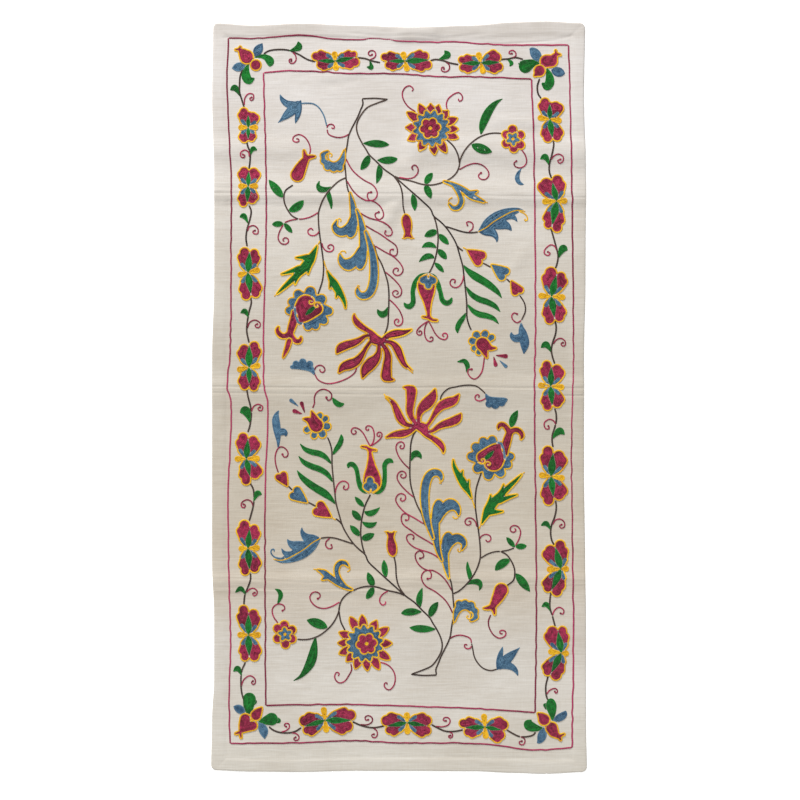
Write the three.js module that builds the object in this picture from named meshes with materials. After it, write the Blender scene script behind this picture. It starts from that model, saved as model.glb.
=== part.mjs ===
// An embroidered hanging: one hemmed length of slubby silk and cotton cloth, laid face up.
// It was stored folded in four, so three cross folds and a few soft wrinkles still stand a little proud.
// Millimetres. X runs across the cloth, Y along it towards its top edge, and Z up from what it lies on.
import * as THREE from "three";

// Driving sizes.
const WIDTH = 496;
const LENGTH = 994;
const CLOTH_THICKNESS = 1.2;
const HEM_WIDTH = 17;
const HEM_STEP = 8;
const HEM_EXTRA = 0.7;
const CORNER_RADIUS = 7;
const COLUMNS = 32;
const ROW_SPACING = 24;

// How far each edge strays from its straight line. Out is positive, and "at" is measured from the middle.
const SIDE_DRIFT = [
  { at: 497, left: -0.9, right: -0.6 },
  { at: 400, left: 0.6, right: -2.1 },
  { at: 290, left: -2.2, right: 0.6 },
  { at: 155, left: -2.2, right: -0.1 },
  { at: 50, left: 0.6, right: -2.1 },
  { at: -100, left: 0.6, right: -2.1 },
  { at: -215, left: 0.6, right: -0.6 },
  { at: -295, left: -2.2, right: 0.6 },
  { at: -375, left: -2.2, right: 0.6 },
  { at: -430, left: 0.6, right: 0.6 },
  { at: -497, left: 1.8, right: 1.8 },
];
const END_DRIFT = [
  { at: -248, top: 1.1, bottom: -1.6 },
  { at: -195, top: -2, bottom: 0.4 },
  { at: -128, top: 0.6, bottom: 0.9 },
  { at: -62, top: -2, bottom: -0.6 },
  { at: 18, top: -4.7, bottom: -0.6 },
  { at: 98, top: -2, bottom: -0.1 },
  { at: 151, top: 2, bottom: 2.1 },
  { at: 191, top: 3.4, bottom: 3.4 },
  { at: 248, top: 1.1, bottom: 0.9 },
];

// Folds right across the cloth, as low ridges. "climb" is the rise from the left edge to the right.
const FOLDS = [
  { at: 269.5, climb: -2, height: 1.8, reach: 15 },
  { at: 13, climb: 0, height: 2.2, reach: 11 },
  { at: -242.5, climb: 3, height: 1.4, reach: 15 },
];

// Shorter wrinkles, each a ridge from one point to another that dies away at its ends.
const WRINKLES = [
  { fromX: -251, fromY: 5.5, toX: -11, toY: 3.5, height: 1.0, reach: 7 },
  { fromX: 214, fromY: 2.5, toX: 251, toY: 6.5, height: 1.0, reach: 7 },
  { fromX: -251, fromY: -255, toX: 19, toY: -257, height: 0.7, reach: 8 },
  { fromX: 13, fromY: 272, toX: -33, toY: 201, height: 1.8, reach: 17 },
  { fromX: 29, fromY: 346, toX: 1, toY: 291, height: 1.2, reach: 20 },
  { fromX: -13, fromY: 483, toX: 61, toY: 488, height: 1.8, reach: 16 },
  { fromX: -251, fromY: 301, toX: -206, toY: 305, height: 1.2, reach: 13 },
  { fromX: 204, fromY: 319, toX: 251, toY: 313, height: 1.2, reach: 13 },
  { fromX: 119, fromY: 367, toX: 189, toY: 362, height: 0.9, reach: 14 },
];

const mix = (a, b, t) => a + (b - a) * t;
const clamp = (t) => Math.min(1, Math.max(0, t));
const smooth = (t) => t * t * (3 - 2 * t);

// The value in one named column of a drift table, eased between its rows.
function drift(table, column, at) {
  const rows = [...table].sort((a, b) => a.at - b.at);
  if (at <= rows[0].at) return rows[0][column];
  const next = rows.findIndex((row) => row.at >= at);
  if (next < 0) return rows[rows.length - 1][column];
  const [low, high] = [rows[next - 1], rows[next]];
  return mix(low[column], high[column], smooth((at - low.at) / (high.at - low.at)));
}

// Draws the corners of the straight rectangle in to a round, as an ellipse fits a square.
function rounded(x, y) {
  const cornerX = WIDTH / 2 - CORNER_RADIUS;
  const cornerY = LENGTH / 2 - CORNER_RADIUS;
  const a = clamp((Math.abs(x) - cornerX) / CORNER_RADIUS);
  const b = clamp((Math.abs(y) - cornerY) / CORNER_RADIUS);
  if (a === 0 || b === 0) return [x, y];
  return [
    Math.sign(x) * (cornerX + CORNER_RADIUS * a * Math.sqrt(1 - (b * b) / 2)),
    Math.sign(y) * (cornerY + CORNER_RADIUS * b * Math.sqrt(1 - (a * a) / 2)),
  ];
}

// Moves a point of the rounded rectangle to where it lies on the uneven cloth.
function onCloth(x, y) {
  const [rx, ry] = rounded(x, y);
  const across = clamp(rx / WIDTH + 0.5);
  const along = clamp(ry / LENGTH + 0.5);
  const sideways = mix(-drift(SIDE_DRIFT, "left", ry), drift(SIDE_DRIFT, "right", ry), across);
  const lengthways = mix(-drift(END_DRIFT, "bottom", rx), drift(END_DRIFT, "top", rx), along);
  return [rx + sideways, ry + lengthways];
}

// A ridge's height at a distance from its line: round on top, and level with the cloth past its reach.
const ridge = (height, reach, distance) => height * clamp(1 - (distance / reach) ** 2) ** 2;

// How far the cloth is lifted off the surface at a point.
function lift(x, y) {
  let highest = 0;
  for (const fold of FOLDS) {
    const distance = Math.abs(y - fold.at - (fold.climb * x) / WIDTH);
    highest = Math.max(highest, ridge(fold.height, fold.reach, distance));
  }
  for (const w of WRINKLES) {
    const [dx, dy] = [w.toX - w.fromX, w.toY - w.fromY];
    const length = Math.hypot(dx, dy);
    const along = ((x - w.fromX) * dx + (y - w.fromY) * dy) / length;
    const aside = Math.abs((x - w.fromX) * dy - (y - w.fromY) * dx) / length;
    const fade = smooth(clamp(along / w.reach)) * smooth(clamp((length - along) / w.reach));
    highest = Math.max(highest, fade * ridge(w.height, w.reach, aside));
  }
  return highest;
}

// The cloth is two layers thick where its edge is turned under.
function thickness(x, y) {
  const inFromEdge = Math.min(WIDTH / 2 - Math.abs(x), LENGTH / 2 - Math.abs(y));
  const inHem = smooth(clamp((HEM_WIDTH + HEM_STEP / 2 - inFromEdge) / HEM_STEP));
  return CLOTH_THICKNESS + HEM_EXTRA * inHem;
}

// Grid lines for one direction: even ones, and extra ones that replace those too near them.
function gridLines(half, spacing, extra) {
  const count = Math.round((2 * half) / spacing);
  const even = Array.from({ length: count + 1 }, (_, i) => mix(-half, half, i / count));
  const clear = even.filter((line) => extra.every((e) => Math.abs(line - e) > spacing / 2.5));
  return [...new Set([...clear, ...extra, -half, half])].sort((a, b) => a - b);
}

// The lines on which the hem and the rounded corners turn, the same at both ends.
function edgeLines(half) {
  const corner = [half - CORNER_RADIUS / 2, half - CORNER_RADIUS];
  const hem = [half - HEM_WIDTH + HEM_STEP / 2, half - HEM_WIDTH - HEM_STEP / 2];
  return [...corner, ...hem].flatMap((line) => [-line, line]);
}

// The lines that follow a cross fold over its top and down both sides.
function foldLines(fold) {
  const shares = [-1, -0.66, -0.33, 0, 0.33, 0.66, 1];
  return shares.map((share) => fold.at + share * fold.reach);
}

// The sheet as one closed solid: a grid for the face, the same grid for the back, and a rim between them.
function sheetGeometry() {
  const xs = gridLines(WIDTH / 2, WIDTH / COLUMNS, edgeLines(WIDTH / 2));
  const ys = gridLines(LENGTH / 2, ROW_SPACING, [
    ...edgeLines(LENGTH / 2),
    ...FOLDS.flatMap(foldLines),
  ]);
  const positions = [];
  const faces = [];
  for (const side of ["back", "face"]) {
    for (const y of ys) {
      for (const x of xs) {
        const [px, py] = onCloth(x, y);
        const bottom = lift(px, py);
        positions.push(px, py, side === "face" ? bottom + thickness(x, y) : bottom);
      }
    }
  }
  const layer = xs.length * ys.length;
  const index = (i, j) => j * xs.length + i;
  const quad = (a, b, c, d) => faces.push(a, b, c, a, c, d);
  for (let j = 0; j + 1 < ys.length; j++) {
    for (let i = 0; i + 1 < xs.length; i++) {
      const corners = [index(i, j), index(i + 1, j), index(i + 1, j + 1), index(i, j + 1)];
      quad(...corners.map((c) => c + layer));
      quad(...[...corners].reverse());
    }
  }
  const lastI = xs.length - 1;
  const lastJ = ys.length - 1;
  const rim = [];
  for (let i = 0; i < lastI; i++) rim.push(index(i, 0));
  for (let j = 0; j < lastJ; j++) rim.push(index(lastI, j));
  for (let i = lastI; i > 0; i--) rim.push(index(i, lastJ));
  for (let j = lastJ; j > 0; j--) rim.push(index(0, j));
  rim.forEach((from, k) => {
    const to = rim[(k + 1) % rim.length];
    quad(from, to, to + layer, from + layer);
  });
  const geometry = new THREE.BufferGeometry();
  geometry.setAttribute("position", new THREE.Float32BufferAttribute(positions, 3));
  geometry.setIndex(faces);
  geometry.computeVertexNormals();
  return geometry;
}

const unbleachedSilk = new THREE.MeshStandardMaterial({
  color: 0xd5cdc0,
  roughness: 0.85,
  metalness: 0,
});

const cloth = new THREE.Mesh(sheetGeometry(), unbleachedSilk);
cloth.name = "embroidered_cloth";

const hanging = new THREE.Group();
hanging.add(cloth);

export default hanging;
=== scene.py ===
"""An embroidered hanging, laid flat: slubby silk and cotton cloth with flowers in chain stitch.

Sizes in the tables are millimetres on the cloth: x across it, y towards its top edge, from its middle.
Blender's own units are metres, so the meshes are scaled by MM when they are made.
"""

import math

import bpy
import numpy as np
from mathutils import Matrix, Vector
from mathutils.geometry import delaunay_2d_cdt


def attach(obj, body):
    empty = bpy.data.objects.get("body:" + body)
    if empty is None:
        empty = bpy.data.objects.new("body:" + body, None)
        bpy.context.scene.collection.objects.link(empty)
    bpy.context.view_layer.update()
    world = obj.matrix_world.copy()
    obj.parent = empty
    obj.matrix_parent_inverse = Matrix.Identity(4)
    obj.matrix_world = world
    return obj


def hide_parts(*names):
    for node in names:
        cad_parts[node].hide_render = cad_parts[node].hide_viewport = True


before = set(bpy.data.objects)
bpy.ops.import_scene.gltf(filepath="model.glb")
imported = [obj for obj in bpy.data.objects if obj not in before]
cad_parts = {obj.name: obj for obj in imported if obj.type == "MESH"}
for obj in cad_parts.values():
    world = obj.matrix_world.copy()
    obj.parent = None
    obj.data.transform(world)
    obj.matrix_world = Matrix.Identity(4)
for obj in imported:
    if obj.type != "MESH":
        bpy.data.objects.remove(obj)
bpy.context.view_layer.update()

MM = 0.001
FAR = 1e9
rng = np.random.default_rng(11)

# The cloth, as the solid has it.
WIDTH = 496
LENGTH = 994
CLOTH_THICKNESS = 1.2
HEM_WIDTH = 17
HEM_STEP = 8
HEM_EXTRA = 0.7
CORNER_RADIUS = 7

# How far each edge strays from its straight line. Out is positive.
SIDE_STATIONS = np.array([-497, -430, -375, -295, -215, -100, 50, 155, 290, 400, 497.0])
LEFT_DRIFT = np.array([1.8, 0.6, -2.2, -2.2, 0.6, 0.6, 0.6, -2.2, -2.2, 0.6, -0.9])
RIGHT_DRIFT = np.array([1.8, 0.6, 0.6, 0.6, -0.6, -2.1, -2.1, -0.1, 0.6, -2.1, -0.6])
END_STATIONS = np.array([-248, -195, -128, -62, 18, 98, 151, 191, 248.0])
TOP_DRIFT = np.array([1.1, -2, 0.6, -2, -4.7, -2, 2, 3.4, 1.1])
BOTTOM_DRIFT = np.array([-1.6, 0.4, 0.9, -0.6, -0.6, -0.1, 2.1, 3.4, 0.9])

# Folds right across: middle, climb from left to right, height, and reach above and below.
FOLDS = [
    (269.5, -4, 2.1, 30, 17),
    (13.5, 0, 1.25, 18, 40),
    (-242.5, 3, 1.1, 13, 15),
]
# Wrinkles: from x, y, to x, y, height, reach.
WRINKLES = [
    (-251, 5.5, -11, 3.5, 0.9, 7),
    (214, 2.5, 251, 6.5, 1.0, 7),
    (-251, -255, 19, -257, 0.6, 8),
    (4, 276, -24, 218, 2.1, 13),
    (32, 338, 2, 291, 1.7, 20),
    (-13, 483, 61, 488, 1.8, 16),
    (-270, 330, -118, 331, 1.4, 20),
    (-2, 333, 275, 327, 2.5, 26),
    (119, 368, 189, 363, 1.1, 12),
    (-112, 424, -48, 431, 0.7, 10),
    (-48, 206, -100, 168, 0.9, 14),
    (150, 164, 172, 204, 0.8, 12),
]
# Pressed creases: the line along each, its depth, and half its width.
CREASES = [
    ([(-255, 271.5), (-150, 272), (-60, 271), (10, 270.4), (80, 268.8), (140, 267.6), (255, 265.5)],
     0.5, 2.3),
    ([(-255, 280), (-215, 278.5), (-165, 276)], 0.35, 2.4),
    ([(-255, 260.5), (-200, 262), (-160, 262.5)], 0.2, 2.2),
    ([(-255, 14.4), (-110, 12.8), (0, 12.6), (90, 14.2), (160, 12.8), (255, 12.4)], 0.45, 2.4),
    ([(-255, 6.4), (-215, 6), (-120, 4.6), (-12, 4)], 0.32, 2.2),
    ([(205, 2), (255, 2.4)], 0.5, 2.2),
    ([(-255, -241.2), (-205, -241), (-120, -246.4), (-60, -243.6), (20, -243), (70, -247), (255, -245.4)],
     0.3, 2.0),
    ([(-205, -253), (-150, -256.6), (-90, -255.4), (-30, -253)], 0.36, 2.0),
    ([(150, -250), (255, -250.6)], 0.25, 2.0),
    ([(-2, 268), (-8, 252), (-16, 233), (-20, 223)], 0.75, 2.6),
    ([(-20, 223), (-32, 227), (-46, 238)], 0.6, 2.8),
    ([(2, 294), (14, 309), (30, 332)], 0.6, 3.2),
    ([(124, 369), (145, 363.5), (172, 364)], 0.65, 2.6),
    ([(-108, 414), (-70, 418), (-48, 426)], 0.4, 3.0),
    ([(-246, 497), (-229, 480)], 0.35, 1.8),
    ([(246, 497), (228, 481)], 0.35, 1.8),
    ([(-246, -497), (-229, -479)], 0.35, 1.8),
    ([(246, -497), (229, -480)], 0.45, 1.8),
    ([(-232, 478), (-150, 481), (-70, 478.4), (0, 475.6), (70, 473), (135, 469.8), (200, 474), (232, 481)],
     0.42, 2.0),
    ([(-60, 484), (-20, 479.4), (20, 482), (60, 478), (110, 483)], 0.4, 3.2),
    ([(-229, -479.5), (-150, -482), (-60, -478.6), (60, -478.2), (150, -480), (229, -480.6)], 0.26, 2.0),
    ([(-231, 478), (-231.5, 200), (-229.5, 0), (-230.5, -200), (-229.5, -479)], 0.16, 1.8),
    ([(232, 480), (231.5, 200), (232.5, 0), (231, -200), (230, -480)], 0.16, 1.8),
    ([(0, 262), (-1, 200), (-1.5, 120), (-1, 16)], 0.14, 2.4),
]


def eased(t):
    """0 to 1 with a soft start and end."""
    return t * t * (3 - 2 * t)


def clamped(t):
    return np.clip(t, 0.0, 1.0)


def drift(stations, values, at):
    """An edge's drift there, eased between its stations."""
    at = np.clip(at, stations[0], stations[-1])
    i = np.clip(np.searchsorted(stations, at) - 1, 0, len(stations) - 2)
    t = eased((at - stations[i]) / (stations[i + 1] - stations[i]))
    return values[i] + (values[i + 1] - values[i]) * t


def ridge(height, reach, distance):
    """A ridge that is round on top and level with the cloth past its reach."""
    return height * clamped(1 - (distance / reach) ** 2) ** 2


def lift(x, y):
    """How far the cloth is lifted off the surface."""
    highest = np.zeros_like(x)
    for at, climb, height, above, below in FOLDS:
        past = y - at - climb * x / WIDTH
        highest = np.maximum(highest, ridge(height, np.where(past > 0, above, below), past))
    for from_x, from_y, to_x, to_y, height, reach in WRINKLES:
        dx, dy = to_x - from_x, to_y - from_y
        length = math.hypot(dx, dy)
        along = ((x - from_x) * dx + (y - from_y) * dy) / length
        aside = np.abs((x - from_x) * dy - (y - from_y) * dx) / length
        fade = eased(clamped(along / reach)) * eased(clamped((length - along) / reach))
        highest = np.maximum(highest, fade * ridge(height, reach, aside))
    return highest


def sunk(x, y):
    """How far the pressed creases dip into the cloth's face."""
    deepest = np.zeros_like(x)
    for points, depth, half in CREASES:
        (low_x, low_y), (high_x, high_y) = np.min(points, axis=0) - half, np.max(points, axis=0) + half
        near = (x > low_x) & (x < high_x) & (y > low_y) & (y < high_y)
        px, py = x[near], y[near]
        closest = np.full(px.shape, FAR)
        for (ax, ay), (bx, by) in zip(points, points[1:]):
            dx, dy = bx - ax, by - ay
            t = clamped(((px - ax) * dx + (py - ay) * dy) / (dx * dx + dy * dy))
            closest = np.minimum(closest, np.hypot(px - ax - t * dx, py - ay - t * dy))
        deepest[near] = np.maximum(deepest[near], ridge(depth, half, closest))
    return deepest


def thickness(x, y):
    """The cloth is two layers thick where its edge is turned under."""
    in_from_edge = np.minimum(WIDTH / 2 - np.abs(x), LENGTH / 2 - np.abs(y))
    in_hem = eased(clamped((HEM_WIDTH + HEM_STEP / 2 - in_from_edge) / HEM_STEP))
    return CLOTH_THICKNESS + HEM_EXTRA * in_hem


def cloth_top(x, y):
    """Height of the cloth's face, where the embroidery lies."""
    return lift(x, y) + thickness(x, y) - sunk(x, y)


def rounded(x, y):
    """Draws the corners of the straight rectangle in to a round."""
    corner_x = WIDTH / 2 - CORNER_RADIUS
    corner_y = LENGTH / 2 - CORNER_RADIUS
    a = clamped((np.abs(x) - corner_x) / CORNER_RADIUS)
    b = clamped((np.abs(y) - corner_y) / CORNER_RADIUS)
    both = (a > 0) & (b > 0)
    round_x = np.sign(x) * (corner_x + CORNER_RADIUS * a * np.sqrt(1 - b * b / 2))
    round_y = np.sign(y) * (corner_y + CORNER_RADIUS * b * np.sqrt(1 - a * a / 2))
    return np.where(both, round_x, x), np.where(both, round_y, y)


def on_cloth(x, y):
    """Moves a point of the straight rectangle to where it lies on the uneven cloth."""
    rx, ry = rounded(x, y)
    across = clamped(rx / WIDTH + 0.5)
    along = clamped(ry / LENGTH + 0.5)
    left = -drift(SIDE_STATIONS, LEFT_DRIFT, ry)
    right = drift(SIDE_STATIONS, RIGHT_DRIFT, ry)
    bottom = -drift(END_STATIONS, BOTTOM_DRIFT, rx)
    top = drift(END_STATIONS, TOP_DRIFT, rx)
    return rx + left + (right - left) * across, ry + bottom + (top - bottom) * along


# The camera, straight above the cloth as in the photograph. Its place is in metres.
CAMERA_AT = (0.00133, -0.0033, 2.513)
LENS = 85
SENSOR = 36


def add_camera():
    data = bpy.data.cameras.new("camera")
    data.lens = LENS
    data.sensor_width = SENSOR
    camera = bpy.data.objects.new("camera", data)
    camera.location = CAMERA_AT
    bpy.context.collection.objects.link(camera)
    bpy.context.scene.camera = camera


add_camera()


def linear(red, green, blue):
    """An sRGB colour, 0 to 255, as a linear RGBA."""
    parts = [c / 255 for c in (red, green, blue)]
    return tuple(c / 12.92 if c <= 0.04045 else ((c + 0.055) / 1.055) ** 2.4 for c in parts) + (1.0,)


# The fine grid on which edges are found, the room round it, and the depth that it holds outside a shape.
FINE = 0.45
GRID_ROOM = 2
OUTSIDE = -0.2
# Where an outline runs round its shape, the widths of outlines and lines, and the room round a plain fill.
OUTLINE_OUT = 0.9
OUTLINE_WIDTH = 2.45
LINE_WIDTH = 2.25
FILL_OUT = 0.25
# The steps along smoothed lines and strokes, and the least half width of a stroke.
LINE_STEP = 0.6
SHAPE_STEP = 0.5
THINNEST = 0.15
TINY = 1e-6
BATCH = 64


def between(t, low, high, a, b):
    return (high - t) / (high - low) * a + (t - low) / (high - low) * b


def smooth_span(a, b, c, d, step):
    """The stretch from b up to c of a smooth line that comes from a and goes on to d."""
    gaps = [max(TINY, math.hypot(*(q - p)[:2]) ** 0.5) for p, q in ((a, b), (b, c), (c, d))]
    t0, t1 = 0.0, gaps[0]
    t2, t3 = t1 + gaps[1], t1 + gaps[1] + gaps[2]
    count = max(2, int(math.hypot(*(c - b)[:2]) / step) + 1)
    t = np.linspace(t1, t2, count, endpoint=False)[:, None]
    ab, bc, cd = between(t, t0, t1, a, b), between(t, t1, t2, b, c), between(t, t2, t3, c, d)
    return between(t, t1, t2, between(t, t0, t2, ab, bc), between(t, t1, t3, bc, cd))


def smooth_line(points, step):
    """A smooth line through given points, with every further column eased along it too."""
    points = np.asarray(points, float)
    if len(points) == 1:
        return points
    if len(points) == 2:
        count = max(2, int(np.hypot(*(points[1] - points[0])[:2]) / step) + 1)
        t = np.linspace(0, 1, count)[:, None]
        return points[0] + (points[1] - points[0]) * t
    before = 2 * points[0] - points[1]
    after = 2 * points[-1] - points[-2]
    p = np.vstack([before, points, after])
    spans = [smooth_span(*p[i : i + 4], step) for i in range(len(points) - 1)]
    line = np.vstack(spans + [points[-1:]])
    line[:, 2:] = np.maximum(line[:, 2:], THINNEST)
    return line


def field(discs, x, y):
    """Distance to the nearest of many discs that sweep a shape, less than 0 inside."""
    flat_x, flat_y = x.ravel(), y.ravel()
    nearest = np.full(flat_x.shape, FAR)
    for start in range(0, len(discs), BATCH):
        part = discs[start : start + BATCH]
        d = np.hypot(flat_x[:, None] - part[:, 0], flat_y[:, None] - part[:, 1]) - part[:, 2]
        nearest = np.minimum(nearest, d.min(axis=1))
    return nearest.reshape(x.shape)


# For each pattern of corners inside, the cell edges that a contour joins, the inside on its left.
CELL_LINKS = {
    1: ("bl",), 2: ("rb",), 4: ("tr",), 8: ("lt",), 3: ("rl",), 6: ("tb",), 12: ("lr",), 9: ("bt",),
    7: ("tl",), 11: ("rt",), 13: ("br",), 14: ("lb",), 5: ("bl", "tr"), 10: ("rb", "lt"),
}


def next_edges(inside):
    """For each cell edge that a contour crosses, the edge that it crosses next."""
    code = inside[:-1, :-1] * 1 + inside[:-1, 1:] * 2 + inside[1:, 1:] * 4 + inside[1:, :-1] * 8
    rows, columns = np.nonzero((code > 0) & (code < 15))
    wide = inside.shape[1]
    follow = {}
    for j, i in zip(rows.tolist(), columns.tolist()):
        edge = {
            "b": 2 * (j * wide + i),
            "t": 2 * ((j + 1) * wide + i),
            "l": 2 * (j * wide + i) + 1,
            "r": 2 * (j * wide + i + 1) + 1,
        }
        for start, end in CELL_LINKS[int(code[j, i])]:
            follow[edge[start]] = edge[end]
    return follow


class Grid:
    """A fine grid over one item, on which its edges are found."""

    def __init__(self, item):
        self.low = item.low - GRID_ROOM
        counts = np.ceil((item.high + GRID_ROOM - self.low) / FINE).astype(int)
        self.x, self.y = np.meshgrid(*(low + FINE * np.arange(n) for low, n in zip(self.low, counts)))

    def at(self, values, points):
        """The values at the grid points nearest to the given ones."""
        columns, rows = np.round((points - self.low) / FINE).astype(int).T
        return values[rows, columns]

    def contours(self, values):
        """Closed lines where the values cross 0, round where they are positive."""
        follow = next_edges(values > 0)
        wide = values.shape[1]
        flat = values.ravel()
        loops = []
        while follow:
            first, at = follow.popitem()
            ids = [first]
            while at != first:
                ids.append(at)
                at = follow.pop(at)
            ids = np.array(ids)
            cell, upright = ids // 2, ids % 2 == 1
            other = cell + np.where(upright, wide, 1)
            share = flat[cell] / (flat[cell] - flat[other])
            x = self.low[0] + FINE * (cell % wide + np.where(upright, 0, share))
            y = self.low[1] + FINE * (cell // wide + np.where(upright, share, 0))
            loops.append(np.column_stack([x, y]))
        return loops

    def depth(self, loops, mask):
        """Distance in from the loops, at the grid points that the mask holds."""
        edge = np.vstack(loops)
        px, py = self.x[mask], self.y[mask]
        nearest = np.full(px.shape, FAR)
        for start in range(0, len(edge), BATCH):
            part = edge[start : start + BATCH]
            d = (px[:, None] - part[:, 0]) ** 2 + (py[:, None] - part[:, 1]) ** 2
            nearest = np.minimum(nearest, d.min(axis=1))
        deep = np.full(self.x.shape, OUTSIDE)
        deep[mask] = np.sqrt(nearest)
        return deep


def softened(loop, rounds=3):
    for _ in range(rounds):
        loop = (np.roll(loop, 1, axis=0) + 2 * loop + np.roll(loop, -1, axis=0)) / 4
    return loop


def loop_length(loop):
    return float(np.hypot(*(np.roll(loop, -1, axis=0) - loop).T).sum())


# Chain stitch: a tube with two rings to a stitch, a wide belly and a narrow waist.
STITCH = 2.7
SHORTEST_ROW = 0.8
LOOK_AHEAD = 0.5
WAIST_WIDTH = 0.84
WAIST_HEIGHT = 0.72
END_WIDTH = 0.55
END_HEIGHT = 0.5
# How high the stitches stand, how deep their feet sit, and how far apart and how wide the rows of a fill are.
LINE_HEIGHT = 0.75
FILL_HEIGHT = 0.8
OUTLINE_HEIGHT = 0.95
LOWEST = -0.12
ROW_PITCH = 1.75
ROW_COVER = 1.12
# The five points of a ring: across the row, up from its foot, and forward towards the next stitch.
ACROSS = np.array([0.5, 0.27, 0.0, -0.27, -0.5])
RISE = np.array([0.0, 1.0, 0.5, 1.0, 0.0])
LEAD = np.array([0.0, 0.14, 0.34, 0.14, 0.0])
RING = len(ACROSS)
# The flat ground under the rows of a filled shape. Its deeper tone is painted shade between the rows.
PAD_HEIGHT = 0.18
PAD_EDGE = 1.1
PAD_PAINTED_SHADE = 0.6
# How widely the silk's tone varies: along a row, from line to line, from shape to shape and from row to row.
WANDER_TONES = 0.35
LINE_TONES = 0.5
SHAPE_TONES = 0.35
ROW_TONES = 0.6
# The shortest loops that are filled and sewn, and the fewest points of a run.
SHORTEST_EDGE = 3.5
SHORTEST_LOOP = 1.6
SHORTEST_RUN = 3


class Silk:
    """All stitches of one colour in one area, gathered into one mesh."""

    def __init__(self):
        self.points = []
        self.faces = {3: [], 4: [], 5: []}
        self.maps = {3: [], 4: [], 5: []}
        self.tones = []
        self.count = 0

    def add(self, points, tones, faces):
        self.points.append(points)
        self.tones.append(tones)
        for size, (rows, uv) in faces.items():
            self.faces[size].append(rows + self.count)
            self.maps[size].append(uv)
        self.count += len(points)


def row_faces(rings, closed):
    """The faces of a row, with their places on the thread's map. An open row has a cap at each end."""
    ring = np.arange(rings if closed else rings - 1)[:, None]
    after = (ring + 1) % rings
    k = np.arange(RING)
    beside = (k + 1) % RING
    quads = np.stack(
        [ring * RING + k, ring * RING + beside, after * RING + beside, after * RING + k], axis=-1
    )
    uv = np.empty((len(ring), RING, 4, 2))
    uv[..., 0, 0] = uv[..., 3, 0] = k / RING
    uv[..., 1, 0] = uv[..., 2, 0] = k / RING + 1 / RING
    uv[..., 0, 1] = uv[..., 1, 1] = ring / 2
    uv[..., 2, 1] = uv[..., 3, 1] = ring / 2 + 0.5
    faces = {4: (quads.reshape(-1, 4), uv.reshape(-1, 2))}
    if not closed:
        caps = np.array([k[::-1], (rings - 1) * RING + k])
        faces[5] = (caps, np.zeros((2 * RING, 2)))
    return faces


def sew_row(silk, path, closed, width, height, tone):
    """One row of chain stitch along a path."""
    ends = np.vstack([path, path[:1]]) if closed else path
    reach = np.concatenate([[0], np.cumsum(np.hypot(*np.diff(ends, axis=0).T))])
    total = reach[-1]
    if total < SHORTEST_ROW:
        return
    stitches = max(3 if closed else 1, round(total / STITCH))
    rings = 2 * stitches + (0 if closed else 1)
    at = np.linspace(0, total, 2 * stitches + 1)[:rings]

    def place(s):
        s = np.mod(s, total) if closed else np.clip(s, 0, total)
        return np.column_stack([np.interp(s, reach, ends[:, 0]), np.interp(s, reach, ends[:, 1])])

    tangent = place(at + LOOK_AHEAD) - place(at - LOOK_AHEAD)
    tangent /= np.maximum(np.hypot(tangent[:, 0], tangent[:, 1]), TINY)[:, None]
    normal = np.column_stack([-tangent[:, 1], tangent[:, 0]])
    belly = np.arange(rings) % 2
    wide = width * np.where(belly, 1.0, WAIST_WIDTH)
    high = height * np.where(belly, 1.0, WAIST_HEIGHT)
    lead = STITCH * LEAD * np.ones((rings, 1))
    if not closed:
        wide[[0, -1]] *= END_WIDTH
        high[[0, -1]] *= END_HEIGHT
        lead[[0, -1]] = 0
    across = wide[:, None] * ACROSS
    xy = place(at)[:, None] + normal[:, None] * across[..., None] + tangent[:, None] * lead[..., None]
    xy = xy.reshape(-1, 2)
    z = cloth_top(xy[:, 0], xy[:, 1]) + (LOWEST + (high[:, None] - LOWEST) * RISE).ravel()
    wander = np.cumsum(rng.normal(0, WANDER_TONES, rings))
    wander -= np.linspace(0, wander[-1], rings) if closed else wander.mean()
    tones = np.repeat(tone + 0.5 * wander, RING)
    silk.add(np.column_stack([xy, z]), tones, row_faces(rings, closed))


def sew_pad(silk, loops, tone, grid, beyond):
    """The flat ground of stitches under the rows of a filled shape, so no cloth shows between them."""
    points, edges = [], []
    for loop in loops:
        few = loop[:: round(PAD_EDGE / FINE)]
        if len(few) < 4:
            continue
        start = len(points)
        points += [Vector(p) for p in few]
        edges += [(start + n, start + (n + 1) % len(few)) for n in range(len(few))]
    if not points:
        return
    corners, _, triangles, *_ = delaunay_2d_cdt(points, edges, [], 1, 1e-4)
    xy = np.array([tuple(p) for p in corners])
    faces = np.array([t for t in triangles if len(t) == 3], int).reshape(-1, 3)
    faces = faces[grid.at(beyond, xy[faces].mean(axis=1)) < FINE]
    if not len(faces):
        return
    z = cloth_top(xy[:, 0], xy[:, 1]) + PAD_HEIGHT
    silk.add(np.column_stack([xy, z]), np.full(len(xy), tone), {3: (faces, xy[faces.ravel()] / STITCH)})


def runs_of(path, keep):
    """The stretches of a path that are kept."""
    runs, start = [], None
    for n, kept in enumerate(list(keep) + [False]):
        if kept and start is None:
            start = n
        elif not kept and start is not None:
            if n - start >= SHORTEST_RUN:
                runs.append(path[start:n])
            start = None
    return runs


class Item:
    """One shape or line of the design, as the discs that sweep it and the margin round them."""

    def __init__(self, discs, margin):
        self.discs = discs
        self.margin = margin
        reach = discs[:, 2].max() + margin
        self.low = discs[:, :2].min(axis=0) - reach
        self.high = discs[:, :2].max(axis=0) + reach

    def field(self, x, y):
        return field(self.discs, x, y) - self.margin

    def meets(self, other):
        return bool(np.all(self.low < other.high) and np.all(self.high > other.low))


# How a motif with no shift of its own is scaled and moved on the upper tree, before it is turned.
UPPER_SCALE = (1, 0.974)
UPPER_SHIFT = (-1, -38)
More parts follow.
